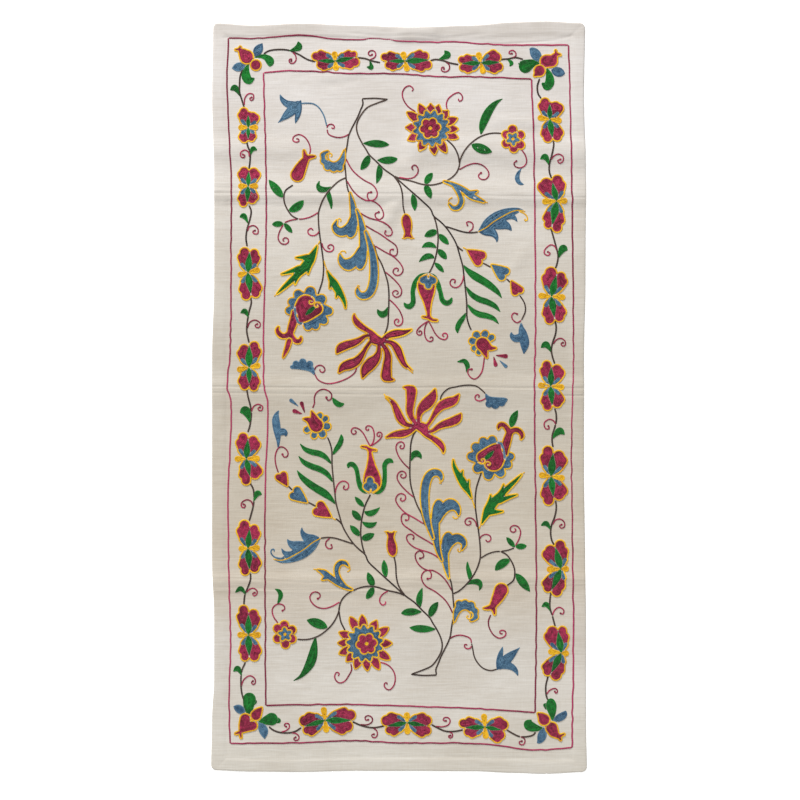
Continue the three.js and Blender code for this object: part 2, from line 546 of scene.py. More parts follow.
# How far a line runs in under what covers it, as a share of its width, and how far an outline does.
LINE_UNDER = 0.35
OUTLINE_UNDER = 0.1


class Design:
    """One area of the embroidery. Each item is cut by those before it, which lie on top of it.

    The upper tree is the lower one, turned end for end, with its own small differences.
    """

    def __init__(self, name, upper=False):
        self.name = name
        self.upper = upper
        self.shift = None
        self.silks = {}
        self.items = []

    def silk(self, colour):
        return self.silks.setdefault(colour, Silk())

    def either(self, lower, upper):
        """The one of two values that belongs to this tree."""
        return upper if self.upper else lower

    def place(self, points, exact):
        """Where points lie on the cloth. exact: they are this tree's own, with no shift."""
        points = np.array(points, float)
        if not self.upper:
            return points
        if not exact and self.shift is not None:
            points[:, :2] += self.shift
        elif not exact:
            points[:, :2] = points[:, :2] * UPPER_SCALE + UPPER_SHIFT
        points[:, :2] *= -1
        return points

    def covers(self, item):
        return [other for other in self.items if other.meets(item)]

    def line(self, colour, points, above=None, width=LINE_WIDTH, knot=0.0):
        """A line of stitches. "above" holds the upper tree's own points, if they differ."""
        exact = above is not None
        points = self.place(self.either(points, above) if exact else points, exact)
        path = smooth_line(points, LINE_STEP)[:, :2]
        item = Item(np.column_stack([path, np.full(len(path), width / 2)]), 0.0)
        keep = np.ones(len(path), bool)
        for cover in self.covers(item):
            keep &= cover.field(path[:, 0], path[:, 1]) > -width * LINE_UNDER
        tone = rng.normal(0, LINE_TONES)
        for run in runs_of(path, keep):
            sew_row(self.silk(colour), run, False, width, LINE_HEIGHT, tone)
        if knot:
            self.sweep(colour, [np.array([[*points[-1, :2], knot]])])
        self.items.append(item)

    def shape(self, colour, *strokes, above=None, outline=None, exact=False):
        """A shape swept by discs along its strokes, rows of x, y and half width, and filled in rows."""
        if above is not None:
            strokes, exact = self.either(strokes, above), True
        self.sweep(colour, [self.place(stroke, exact) for stroke in strokes], outline)

    def outlined(self, colour, *strokes, **more):
        self.shape(colour, *strokes, outline="yellow", **more)

    def sweep(self, colour, strokes, outline=None):
        """A shape swept by discs along its strokes, filled in rows, with an outline if its silk is named."""
        discs = np.vstack([smooth_line(stroke, SHAPE_STEP) for stroke in strokes])
        item = Item(discs, OUTLINE_OUT + OUTLINE_WIDTH / 2 if outline else FILL_OUT)
        grid = Grid(item)
        own = field(discs, grid.x, grid.y)
        self.fill(self.silk(colour), item, grid, own)
        if outline:
            for loop in grid.contours(OUTLINE_OUT - own):
                self.sew_outline(outline, item, softened(loop))
        self.items.append(item)

    def fill(self, silk, item, grid, own):
        """The rows of stitches in what shows of a shape, where "beyond" is less than 0."""
        beyond = own
        for cover in self.covers(item):
            beyond = np.maximum(beyond, -cover.field(grid.x, grid.y))
        loops = [softened(loop) for loop in grid.contours(-beyond) if loop_length(loop) > SHORTEST_EDGE]
        if not loops:
            return
        tone = rng.normal(0, SHAPE_TONES)
        # The pad is given a deeper tone: painted shade between the rows.
        sew_pad(silk, loops, tone - PAD_PAINTED_SHADE, grid, beyond)
        depth = grid.depth(loops, beyond < 0)
        deepest = float(depth.max())
        rows = max(1, round(deepest / ROW_PITCH))
        gap = deepest / rows
        for k in range(rows):
            for loop in grid.contours(depth - (k + 0.5) * gap):
                if loop_length(loop) > SHORTEST_LOOP:
                    row_tone = tone + rng.normal(0, ROW_TONES)
                    sew_row(silk, softened(loop, 2), True, gap * ROW_COVER, FILL_HEIGHT, row_tone)

    def sew_outline(self, colour, item, loop):
        """One row round a shape, left out where another item lies on top."""
        keep = np.ones(len(loop), bool)
        for cover in self.covers(item):
            keep &= cover.field(loop[:, 0], loop[:, 1]) > -OUTLINE_UNDER
        tone = rng.normal(0, LINE_TONES)
        if keep.all():
            sew_row(self.silk(colour), loop, True, OUTLINE_WIDTH, OUTLINE_HEIGHT, tone)
        elif keep.any():
            first = int(np.argmin(keep))
            for run in runs_of(np.roll(loop, -first, axis=0), np.roll(keep, -first)):
                sew_row(self.silk(colour), run, False, OUTLINE_WIDTH, OUTLINE_HEIGHT, tone)


# The flowers and leaves of one tree, from the top one down. Where the upper tree differs, its own
# points are the ones called above.
def lily(d):
    d.shift = (0.5, -37)
    d.line("yellow", [(-20, 5), (-17.5, 1), (-12, -4)], [(-19, -32), (-15, -35.5), (-11, -39)])
    petals = [
        [(-17, -53, 0.5), (-7, -49.5, 3), (4, -48, 4.5), (13, -45.5, 3.5), (21, -40.5, 2)],
        [(-17.5, 1, 0.4), (-8, -7, 2.5), (-2.5, -18, 4), (2, -28, 4.5), (9, -35.5, 2.8), (21, -38, 1.8)],
        [(16.5, 8, 6.3), (15.5, -5, 5), (14.3, -18, 4), (16.5, -26, 3), (22.5, -35, 2.2)],
        [(6, 13.7, 0.3), (12, 12.5, 2.8), (17, 10, 5)],
        [(48, 11, 0.5), (44, 0, 5.5), (37, -8, 7), (30, -15, 5), (26.5, -23, 2.8), (26, -33, 2)],
        [(79.6, 3.8, 0.5), (73, -4, 4.6), (65, -7, 6), (57, -10.5, 5.2), (51, -16.5, 3.8), (46.5, -23.5, 2.4),
         (42, -31, 1.8), (37.5, -37, 1.8)],
        [(82.3, -21.8, 0.5), (77.5, -28.5, 4.6), (70, -32.3, 5), (60, -35.4, 4.2), (52, -39.2, 3),
         (45, -44.3, 1.8), (38, -46, 1.6)],
        [(28, -42, 2.5), (36, -49, 2.6), (44, -53.8, 2.8), (51, -58.5, 3.6), (56, -63.5, 3.4), (58.8, -69, 2),
         (59, -73.5, 0.5)],
        [(22, -37, 3), (31, -40, 6), (35, -42, 4)],
    ]
    d.outlined("crimson", *petals)


def pomegranate(d):
    d.shift = (-2, -38.5)
    if d.upper:
        d.outlined("crimson", [(146, -75, 3), (149, -65, 2.5), (152, -58, 1.5), (154, -53, 0.3)], exact=True)
    else:
        leaf(d, (149.5, -39.5), (151.8, -29), 5, (158, -17))
    d.line("yellow", [(105, -86), (109, -88.3), (113, -87.4), (114.4, -84), (112, -81.3), (109.4, -82.6),
                      (110.6, -84.6)])
    d.line("yellow", [(118, -96), (114.4, -91.6), (114.8, -87.6), (118.4, -85.4), (121.6, -87.6),
                      (120.4, -90.4), (118, -89.4)])
    d.shape("green", [(116, -80.5, 2.4), (120.5, -76.5, 2.8), (125.5, -71.5, 0.8)])
    d.line("blue", [(131, -60), (135, -60.5), (138, -66), (140, -74), (140.6, -81)], width=3.2)
    crown = [
        [(147, -47, 3.6), (144.5, -55, 4.4), (142.3, -63, 4.6), (141.8, -71, 3), (143, -76, 1)],
        [(147, -47, 3.4), (143.5, -41, 2.8), (139.5, -36.8, 2.6), (135.5, -36, 2.4), (132.8, -38.5, 1.8),
         (132.3, -42, 0.5)],
        [(148, -46, 3.2), (153, -43.3, 2.8), (158, -43.6, 2.8), (162, -47, 2.6), (163.8, -51, 2),
         (162.3, -55.3, 0.6)],
    ]
    d.outlined("crimson", *crown)
    body = [
        [(132, -62.5, 1), (126.5, -69, 6), (118, -74.5, 6.8), (111.3, -79.3, 7.2)],
        [(134, -62, 2.6), (135, -71, 5.6), (129.4, -79, 11), (126, -85, 12)],
    ]
    d.outlined("crimson", *body)
    d.shape("crimson", [(134, -61, 2), (137.5, -67, 3), (140, -74, 3), (140.6, -80, 1.6)])
    scallops = [
        (124, -56.5, 5), (112, -58.5, 5), (102, -66, 5.2), (96, -78.5, 5), (104.5, -94, 5.6),
        (119, -103, 6), (135, -100, 5.6), (144.5, -89, 5), (148.5, -78.5, 4.4),
    ]
    upper_scallops = [
        (121, -94.5, 4.8), (111, -95.5, 4.8), (100, -102.5, 5), (93.5, -115, 5), (103, -131, 5.5),
        (118, -140.5, 6.2), (134, -137, 5.5), (142, -127, 5), (146, -115.5, 4.5),
    ]
    middle = d.either((122, -80), (120, -118.5))
    lobes = d.either(scallops, upper_scallops)
    ring = [[(*middle, 12), ((middle[0] + x) / 2, (middle[1] + y) / 2, 9), (x, y, r)] for x, y, r in lobes]
    d.outlined("blue", *ring, exact=True)


def big_tulip(d):
    """The tall tulip with its two green arms and three curls."""
    d.shift = (-1, -37)
    d.line("yellow", [(-37.5, -122), (-37.5, -127)], [(-39, -159), (-39, -163)], width=3.4)
    trefoil = [[(-38.5, -110.4, 4.3), (-38.3, -117, 4)], [(-42.4, -118.4, 4.8), (-40.5, -120, 4.6)],
               [(-33.4, -118.6, 4.6), (-36, -120.4, 4.6)]]
    trefoil_above = [[(-39, -149, 4.3), (-38.6, -155, 5)], [(-45.4, -155.4, 4.4), (-41, -157, 4.6)],
                     [(-32, -156, 4.4), (-36, -157.6, 4.6)]]
    d.outlined("blue", *trefoil, above=trefoil_above)
    cup = [
        [(-37.4, -117.5, 9), (-35.6, -113, 11), (-35.9, -105, 9.7), (-36.7, -95, 6.2), (-37.4, -85, 3.6),
         (-38.3, -75, 1.9), (-38.8, -69, 1.9)],
        [(-38.8, -70, 1.8), (-43, -66.3, 1.4), (-49.5, -65.4, 0.8)],
        [(-38.8, -70, 1.8), (-34.5, -69.6, 1.1), (-30.5, -70.2, 0.7)],
    ]
    d.outlined("crimson", *cup)
    arms = [
        [(-67.6, -93, 1), (-66.6, -89.5, 2.8), (-62.5, -88.6, 3.3), (-57.5, -93.5, 3), (-55, -103, 2.9),
         (-53.5, -112, 3.2), (-50, -120, 3.8), (-45, -125, 2.6), (-42, -126.6, 1.4)],
        [(-8, -86.4, 0.8), (-11, -84, 2.8), (-15, -84.4, 3.4), (-19, -89.5, 3.2), (-18.9, -100, 2.9),
         (-19.6, -112, 3.2), (-23, -120.5, 4), (-27.6, -125, 3.4), (-32, -126.4, 1.8)],
    ]
    arms_above = [
        [(-70, -132, 1.2), (-68, -127.6, 3), (-63, -125.6, 3.6), (-58, -129, 3.4), (-55, -140, 3),
         (-51, -152, 3.6), (-46, -160, 3.6), (-39, -164.4, 2)],
        [(-7, -125.5, 1), (-9.6, -122, 2.8), (-14, -121, 3.6), (-18.5, -126, 3.4), (-18.4, -142, 3),
         (-22, -153, 3.6), (-29, -161, 3.4), (-39, -164.4, 2)],
    ]
    d.shape("green", *arms, above=arms_above)


def tulip_curls(d):
    d.shift = (-1, -37)
    curls = [
        [(-38, -65), (-42, -58), (-48, -47), (-54, -41.5), (-60.5, -40.3), (-63.6, -44.3), (-61.6, -48.4),
         (-57.8, -48), (-57, -45), (-59.4, -44)],
        [(-38, -65), (-34, -58), (-33, -48), (-36, -39.6), (-41, -37.5), (-44, -39.6), (-43.6, -43),
         (-40.6, -43.2), (-40.4, -41)],
        [(-38, -65), (-28, -58), (-23, -52), (-23, -47.8), (-26, -46), (-29, -47.6), (-28.8, -51),
         (-25.8, -51.4), (-25.6, -49)],
    ]
    for curl in curls:
        d.line("crimson", curl)


def blue_petal_tulip(d):
    d.shift = (-1, -36)
    body = [
        [(-110, -37, 8.7)],
        [(-110, -36, 7), (-113, -27, 4), (-116, -18.5, 0.5)],
        [(-113, -37, 6), (-120, -30, 3), (-126.5, -28.5, 0.8)],
    ]
    body_above = [
        [(-111, -71, 8.2)],
        [(-111, -70, 6.5), (-114, -61, 3.5), (-117, -53, 0.5)],
        [(-114, -71, 6), (-121, -66, 3), (-128.5, -65.5, 0.8)],
    ]
    d.outlined("crimson", *body, above=body_above)
    petals = [
        (-105, -24, 3.3), (-97.5, -28, 3.3), (-95.5, -38.5, 4.3), (-102, -48.5, 4.7),
        (-113, -50.5, 3.7), (-122.5, -43, 3.7),
    ]
    petals_above = [
        (-106, -60, 3.2), (-100, -65.5, 3.4), (-97.5, -75, 4.2), (-103, -83, 4.5),
        (-114.5, -84.5, 4.2), (-123.5, -80, 3.5),
    ]
    middle = d.either((-109, -37), (-110, -71))
    for x, y, r in d.either(petals, petals_above):
        root = ((2 * x + middle[0]) / 3, (2 * y + middle[1]) / 3, r * 0.8)
        d.outlined("blue", [root, (x, y, r)], exact=True)
    sprigs = [
        ("blue", [(-143.5, -3.8, 2.5), (-134, -11.5, 0.5)], [(-142, -41.5, 2.4), (-134, -49, 0.5)]),
        ("crimson", [(-129.4, -7.8, 2.7), (-125.4, -20, 0.6)], [(-128.5, -43.5, 2.8), (-126, -54, 0.6)]),
        ("crimson", [(-139, -18, 2.9), (-129, -21.6, 0.6)], [(-142, -55, 2.9), (-129, -56, 0.6)]),
    ]
    for colour, own, above in sprigs:
        d.shape(colour, own, above=[above])
    curl = [(-115, -14), (-112.5, -8), (-112.5, 0), (-110, 6), (-105, 10), (-100, 11), (-94, 9), (-90, 5),
            (-89.5, 1), (-91.5, -3), (-95, -3.5), (-96.5, 0)]
    curl_above = [(-113.5, -54), (-112.5, -45), (-110, -34), (-105, -27), (-100, -24.5), (-95, -27),
                  (-91.5, -33), (-92.5, -37), (-96.5, -37.5)]
    d.line("crimson", curl, curl_above, knot=1.8)
    own_leaf = [(-88.5, -0.5, 0.8), (-84, -6.5, 3.5), (-79, -9.5, 3.5), (-73.5, -8.5, 1)]
    leaf_above = [(-90, -34, 0.8), (-91, -42, 3.2), (-87, -48.5, 3), (-78, -47.5, 0.8)]
    d.shape("green", own_leaf, above=[leaf_above])


# The tips of the rosette's outer petals.
PETAL_TIPS = [
    (-49, -290), (-30, -297), (-14.5, -306.5), (-10, -327), (-12.5, -348), (-26.5, -361), (-42, -362.5),
    (-58, -360), (-69.5, -350.5), (-79, -340.5), (-80.5, -326.5), (-79, -312.5), (-64.5, -292.5),
]
UPPER_PETAL_TIPS = [
    (-27, -389.5), (-42, -390), (-53, -388.5), (-65, -381), (-77, -371), (-78, -357), (-78, -345),
    (-62.5, -326), (-47.2, -323.4), (-27.4, -328.4), (-12.4, -342.4), (-9.6, -359), (-11.2, -379),
]


def around(x, y, radius, degrees):
    return x + radius * math.cos(math.radians(degrees)), y + radius * math.sin(math.radians(degrees))


def rosette(d):
    """Rings of petals round a yellow eye."""
    cx, cy = d.either((-43, -327.5), (-41.5, -358))
    d.shape("yellow", [(cx, cy, 2.6)], exact=True)
    six = [[(cx, cy, 5.5), (*around(cx, cy, 9, 60 * n + 8), 4.5)] for n in range(6)]
    d.outlined("crimson", *six, exact=True)
    rx, ry = d.either((-45.5, -327), (-43, -357.5))
    ring = [[(rx, ry, 19)]]
    for n in range(len(PETAL_TIPS)):
        turn = 10 + 360 * n / len(PETAL_TIPS)
        ring.append([(*around(rx, ry, 17, turn), 4.4), (*around(rx, ry, 22.4, turn), 2)])
    d.outlined("blue", *ring, exact=True)
    for x, y in d.either(PETAL_TIPS, UPPER_PETAL_TIPS):
        turn = math.degrees(math.atan2(y - ry, x - rx))
        far = math.hypot(x - rx, y - ry)
        places = ((21, 3.8), (25.5, 4.9), (far - 5.5, 3.5), (far, 0.4))
        petal = [(*around(rx, ry, radius, turn), half) for radius, half in places]
        d.outlined("crimson", petal, exact=True)


def small_flower(d):
    d.shift = (0, -28.5)
    cx, cy = -151.5, -315
    d.shape("yellow", [(cx, cy, 2.2)])
    star = [[(cx, cy, 3.6), (*around(cx, cy, 7, 96 + 72 * n), 2.1)] for n in range(5)]
    d.outlined("blue", *star)
    lobes = [(-152.5, -302.5), (-142.3, -309), (-142.5, -321), (-151, -328), (-161.5, -320.5), (-161.5, -307)]
    d.outlined("crimson", [(cx, cy, 9.5)], *[[(cx, cy, 6), (x, y, 5)] for x, y in lobes])


def hearts(d):
    """Three hearts in a row: two round lobes, drawn out to a point."""
    d.shift = (-1, -37)
    rows = [
        ("crimson", (-160.3, -106, 3.8), (-153.4, -103.4, 4.2), (-148.8, -117.3)),
        ("blue", (-135.2, -123.8, 4.8), (-141, -131, 4.5), (-122.5, -139.2)),
        ("crimson", (-104, -143.4, 5), (-109.2, -152, 5), (-90.5, -158.6)),
    ]
    for colour, first, second, tip in rows:
        strokes = []
        for x, y, r in (first, second):
            waist = (0.55 * x + 0.45 * tip[0], 0.55 * y + 0.45 * tip[1], 0.68 * r)
            strokes.append([(x, y, r), waist, (*tip, 0.5)])
        middle = [0.4 * a + 0.4 * b + 0.2 * c for a, b, c in zip(first, second, (*tip, 4))]
        d.outlined(colour, *strokes, [(*middle[:2], 0.95 * middle[2]), (*tip, 0.5)])
    d.line("yellow", [(-90, -159), (-84, -163)])


def buds(d):
    d.shift = (-1, -40)
    d.outlined("crimson", [(136, -256, 8.2), (132, -264.5, 6.8), (127.5, -272.5, 4.8), (123.5, -279, 3)],
               [(124, -278, 2.8), (118.5, -279.8, 2), (113, -280.4, 0.8)],
               [(125, -278, 2.8), (126.4, -283.5, 1.8), (127.2, -288, 0.8)])
    d.shift = None
    d.outlined("crimson", [(-10.8, -183, 3), (-10.6, -190, 4), (-9.6, -198, 5.6), (-8.6, -205, 4.6),
                           (-8, -209, 1.6)],
               [(-12, -184, 2.2), (-14, -181, 1.4), (-16, -179, 0.5)],
               [(-9.6, -184, 2.2), (-7.4, -181, 1.2), (-6.4, -179, 0.5)])
    d.line("yellow", [(-20, -178.5), (-15.5, -177.6)])
    d.line("yellow", [(-6.5, -177.6), (-2.5, -178.5)])


def blue_plumes(d):
    first = [(45, -187, 1.2), (40, -172, 2.6), (36, -155, 4), (34.3, -140, 4.8), (34.3, -126, 5),
             (36.5, -112, 5), (41, -103, 4.6), (47, -99.8, 4.2), (53, -101, 3.6), (56, -105.5, 2.4),
             (56, -110, 0.8)]
    d.outlined("blue", first)
    second = [
        [(57, -217, 0.8), (53, -206, 2.2), (49.5, -188, 3.8), (48.3, -170, 4.4), (48.6, -155, 4.4),
         (50.5, -146, 4.8), (52.8, -141, 4.6)],
        [(52, -163, 3.2), (56, -154, 4.6), (62, -146, 6), (68, -142.5, 7), (74, -144, 5.2), (78, -149, 3.2),
         (79.5, -156.5, 0.5)],
    ]
    d.outlined("blue", *second)
    third = [
        [(66, -240, 0.5), (63, -226, 2.6), (61, -210, 4), (61.5, -196, 4.6), (63.5, -187, 4.8),
         (65.5, -184, 4.4)],
        [(63, -205, 3), (66, -196, 4.4), (72, -189, 5.4), (78.5, -187, 5), (84, -190, 4.2), (86.5, -195, 2.6),
         (83.5, -202.5, 0.5)],
    ]
    d.outlined("blue", *third)
    for scroll in (
        [(56.5, -110), (55.8, -114), (53, -113)],
        [(79.5, -157), (77.5, -160.5), (73, -160.5), (71.5, -157.5)],
        [(83.5, -203), (81, -205.3), (78, -203.5), (79, -200.5)],
    ):
        d.line("yellow", scroll)


def shell_flower(d):
    """A blue crescent with a scalloped back and a yellow scroll in its mouth."""
    d.line("yellow", [(95, -284.4), (98.3, -288), (97.6, -292.4), (93.8, -294.4), (90.4, -293.2),
                      (90.4, -290.4), (92.6, -290.4)])
    band = [
        [(73.6, -298, 0.4), (75.2, -290, 2.2), (77.6, -283, 3.8), (82.5, -277.8, 4.8), (89, -276.8, 4.8),
         (95.4, -279.6, 4.6), (99.6, -286, 4), (99.8, -292, 3.8), (96, -296, 1.4)],
        [(79.8, -274.6, 4.2)], [(87.8, -274.2, 4.6)], [(95.8, -276.4, 4.6)], [(101, -284, 3.8)],
        [(101.6, -291.6, 3.4)],
    ]
    d.outlined("blue", *band)
    d.line("yellow", [(73.6, -296), (72.4, -299), (72, -302)])


def split_leaf(d):
    own = [
        [(-62.5, -255.3, 0.6), (-70, -252.5, 2), (-79, -247.5, 3.2), (-86, -243, 3.2), (-93, -238, 3.4),
         (-99, -233.5, 3.2), (-104, -230.8, 1.6), (-108.5, -229.3, 0.4)],
        [(-97, -239, 2.6), (-102, -242, 0.5)],
        [(-74, -249.5, 2.6), (-80, -241.5, 2.8), (-83, -232, 2.6), (-82, -224.5, 2.9), (-77.5, -219.8, 2.6),
         (-71.5, -220.3, 2), (-67, -225, 0.5)],
    ]
    above = [
        [(-60, -287, 0.8), (-72, -283, 2), (-84, -277, 2.8), (-96, -268, 3.6), (-113, -260, 0.8)],
        [(-95, -271, 2.8), (-104, -274, 0.6)],
        [(-73, -282, 2), (-80, -271, 2.4), (-83, -261, 2.6), (-79, -253, 2.6), (-72, -252, 2),
         (-67, -257, 0.8)],
    ]
    d.outlined("blue", *own, above=above)
    d.line("yellow", [(-107, -229.5), (-114, -228)], [(-113, -260), (-118, -259)])
    d.line("yellow", [(-65.5, -224), (-65.5, -229.5), (-69, -232)], [(-66, -258), (-66.5, -263), (-71, -266)])


def feather(d):
    """The long blue feather with its yellow rib and barbs."""
    rib = [(-104, -187), (-115, -193), (-125, -201), (-140, -210), (-150, -215), (-158, -216.5), (-167, -215)]
    d.line("yellow", rib, width=1.7)
    hook = [(-152, -213.4), (-160, -213.6), (-167, -211), (-170.3, -206), (-169, -202), (-166, -202),
            (-166.3, -205)]
    hook_above = [(-160, -247.5), (-166, -245), (-170, -241), (-170.5, -236), (-167, -235), (-168, -238)]
    d.line(d.either("blue", "yellow"), hook, hook_above)
    d.shape(
        "blue",
        [(-104.5, -187.5, 0.8), (-111, -191, 5), (-119, -197.5, 8.5), (-128, -204.5, 9), (-138, -210, 8),
         (-148, -214.3, 5.6), (-158, -216.6, 3), (-166, -215.3, 0.8)],
        [(-108, -187, 2), (-114, -187.6, 5.2), (-121, -187.4, 6), (-126, -183.6, 4.2), (-129, -178, 2.2),
         (-129, -172.8, 0.4)],
        [(-127, -198, 7), (-135, -197.6, 6.8), (-141.5, -196, 5), (-146, -192.4, 2.6), (-148.6, -188.5, 0.4)],
        [(-140, -208, 4.6), (-147, -208.6, 4), (-152.5, -206.4, 2.6), (-156.3, -200.8, 0.4)],
    )


def fleur(d):
    own = [
        [(-159.8, -17.5, 0.5), (-162.5, -22, 2.6), (-163.8, -29, 4.8), (-163, -37, 5.3), (-161.8, -46, 4.6),
         (-160.8, -54, 3.2), (-160.5, -60, 2), (-160.7, -67, 0.8)],
        [(-158, -46, 4.6), (-153.5, -45.6, 4.4), (-150.6, -48, 2.6), (-150.8, -51, 1)],
    ]
    above = [
        [(-166, -58, 0.5), (-167, -72, 6), (-164.5, -85, 5.6), (-162.6, -93, 3), (-162.5, -98, 1.2)],
        [(-162, -80, 5.4), (-154.6, -78.6, 4.8), (-150, -82, 2.8), (-149.4, -86, 1)],
    ]
    d.shape("blue", *own, above=above)


def bell_and_half_flower(d):
    d.shift = (0, -33)
    d.shape("blue", [(130.8, -361.5, 1), (132.3, -352, 3.2), (134.6, -343, 3.5), (136.8, -335.5, 1.8),
                     (137.8, -331.5, 0.4)],
            [(134.5, -357, 4.6), (141.5, -350, 6.6), (149.5, -342.5, 4.9), (156, -336.6, 2),
             (160.8, -332.4, 0.4)],
            [(134, -357.4, 3.2), (143, -356.2, 5), (150.5, -358.6, 4.2), (155.5, -363.5, 2.8),
             (158.2, -369.8, 0.5)])
    half = [[(115, 5, 0.6), (119.5, -2, 3.8), (133, -4.6, 4.8), (139, -4, 4), (143, -2.8, 1.6)],
            [(119.8, -8.4, 5)], [(128, -9.6, 5.6)], [(136.4, -6.6, 5.2)]]
    half_above = [[(112.6, -30.6, 0.8), (117, -38, 4), (130, -41.8, 4.8), (142.6, -40.6, 2.4)],
                  [(118.6, -44.4, 4.6)], [(128, -47, 5)], [(137, -44.6, 4.6)]]
    d.shape("blue", *half, above=half_above)


def serrated_leaves(d):
    d.outlined("green", [(96.3, -133.5, 0.4), (92, -124.5, 2.6), (87.5, -117, 4.4), (82.5, -108.5, 4.4),
                         (77, -99.5, 2.9), (73.3, -91, 1.8), (72.2, -83, 0.4)],
               [(81.5, -107, 2.6), (83.6, -101.5, 1.3), (84.6, -97, 0.3)],
               [(90.5, -119, 2.6), (92.2, -113.6, 1.2), (93, -109.6, 0.3)])
    d.line("yellow", [(96.5, -134), (99, -141), (101, -148)])
    d.outlined("green", [(110, -168, 0.5), (114, -159, 2.8), (118.5, -150, 5.2), (123.4, -142.6, 5.8),
                         (130, -135, 5), (137.5, -127.5, 3.6), (146, -119, 2.9), (155, -110.5, 1.9),
                         (163, -102.5, 0.4)],
               [(120.5, -143, 3.8), (121.4, -136, 1.9), (121.9, -129.4, 0.3)],
               [(134, -131, 4), (137.2, -123, 1.8), (139.2, -115.5, 0.3)],
               [(134, -137, 3.4), (146, -132.6, 2), (157, -129.4, 0.5)],
               [(121, -151, 4.8), (129, -152, 2.3), (138, -151.6, 0.5)])
    d.line("yellow", [(161, -105), (167, -99)])
    d.line("yellow", [(110, -167), (106, -175)])


# Green leaves of one tree: root, middle, half width there, tip.
LEAVES = [
    ((28, -280), (27, -268), 4.3, (31, -253)),
    ((30, -285), (15, -285), 5, (3, -287)),
    ((41, -292), (45, -282), 5, (52, -272)),
    ((49, -308), (30, -307.5), 5, (14, -306)),
    ((-17, -239), (-19, -228), 4.2, (-20, -216)),
    ((-34, -250), (-37.5, -243), 4.8, (-41.5, -232.5)),
    ((-34, -252), (-38, -260), 4.5, (-43.5, -267.5)),
    ((-95.5, -306), (-108, -300.5), 6.3, (-122.5, -296)),
    ((148, -216), (137, -221), 5.5, (128, -230)),
    ((155, -234), (164, -245), 5.5, (174, -258)),
    ((154, -199), (148.5, -192.5), 3.5, (143, -186)),
    ((155, -198), (162, -198), 4, (169.6, -197.3)),
    ((-46, -145), (-52.5, -139), 3.4, (-58.5, -132)),
    ((-50, -163), (-56.5, -157), 4.4, (-62, -150)),
    ((-51, -184), (-58, -177.5), 4.2, (-65, -170)),
    ((-46, -151), (-37, -153.8), 4, (-25.5, -146)),
    ((-49, -165), (-39, -169.8), 3.8, (-29.5, -165.5)),
    ((-49.5, -187.5), (-42, -185.5), 4.8, (-33, -181)),
]
# Longer and bent green leaves, as rows of x, y and half width.
BENT_LEAVES = [
    [(94.5, -243, 1.5), (94, -236, 3.2), (91.5, -226, 2.4), (91, -219, 0.8)],
    [(88, -249.5, 0.6), (94, -246, 2.4), (100, -244.8, 3.5), (105.5, -245.5, 4.2), (108.5, -250, 2.6),
     (107, -256, 0.8)],
    [(15.5, -84, 1.2), (18.5, -77, 3.6), (23, -74.4, 4.4), (27.5, -77, 2.8), (29.5, -81, 0.7)],
    [(-131.5, -61.5, 0.5), (-125, -68.6, 2.8), (-116, -72.4, 3.8), (-106, -74.6, 4), (-98, -79, 3.2),
     (-89.8, -88, 1)],
    [(-133.5, -78, 0.5), (-127, -85.5, 3), (-116, -91.5, 4), (-105, -95.5, 4), (-95.5, -101.8, 3.4),
     (-88, -112, 1)],
    [(-135.5, -97, 0.5), (-130, -105, 3), (-120, -114, 4.6), (-110, -120.7, 5), (-99, -127.4, 5),
     (-91, -134, 3.2), (-84, -142, 0.7)],
    [(-76.8, -49.5, 0.8), (-76.6, -55, 3), (-79, -62, 3.5), (-83.4, -68.5, 3), (-89, -77.5, 0.6)],
]


# A leaf's points, how full its belly is, and its least half width.
LEAF_POINTS = 9
LEAF_ROUND = 0.95
LEAF_TIP = 0.4


def leaf(d, root, middle, half, tip):
    """A green leaf along a bent line through its middle, round in the belly and pointed at both ends."""
    t = np.linspace(0, 1, LEAF_POINTS)[:, None]
    root, middle, tip = (np.array(p, float) for p in (root, middle, tip))
    bend = 2 * middle - (root + tip) / 2
    line = (1 - t) ** 2 * root + 2 * t * (1 - t) * bend + t**2 * tip
    belly = half * (4 * t * (1 - t)) ** LEAF_ROUND
    d.shape("green", np.column_stack([line, np.maximum(belly, LEAF_TIP)]))


def leaves(d):
    crescent = [(-165, -254.5, 0.4), (-159.5, -257.5, 2.6), (-157.3, -262.5, 3.2), (-159, -269, 2.2),
                (-162, -275.5, 0.4)]
    crescent_above = [(-166, -283, 0.4), (-160, -285.5, 2.6), (-157.2, -291, 3.2), (-158.5, -298, 2.2),
                      (-163, -305, 0.4)]
    d.shape(d.either("green", "blue"), crescent, above=[crescent_above])
    for root, middle, half, tip in LEAVES:
        leaf(d, root, middle, half, tip)
    for stroke in BENT_LEAVES:
        d.shape("green", stroke)
    long = [(-111, -319, 1), (-112.5, -330, 4), (-114.5, -342, 6), (-118, -353, 6.2), (-124, -363, 4.4),
            (-131, -371, 2.2), (-140, -376.5, 0.5)]
    long_above = [(-109, -350.5, 1), (-110.6, -360, 4.2), (-114, -370, 5.6), (-119, -380, 5.4),
                  (-125, -388, 4), (-131, -393.5, 2.2), (-137.5, -397, 0.5)]
    d.shape("green", long, above=[long_above])


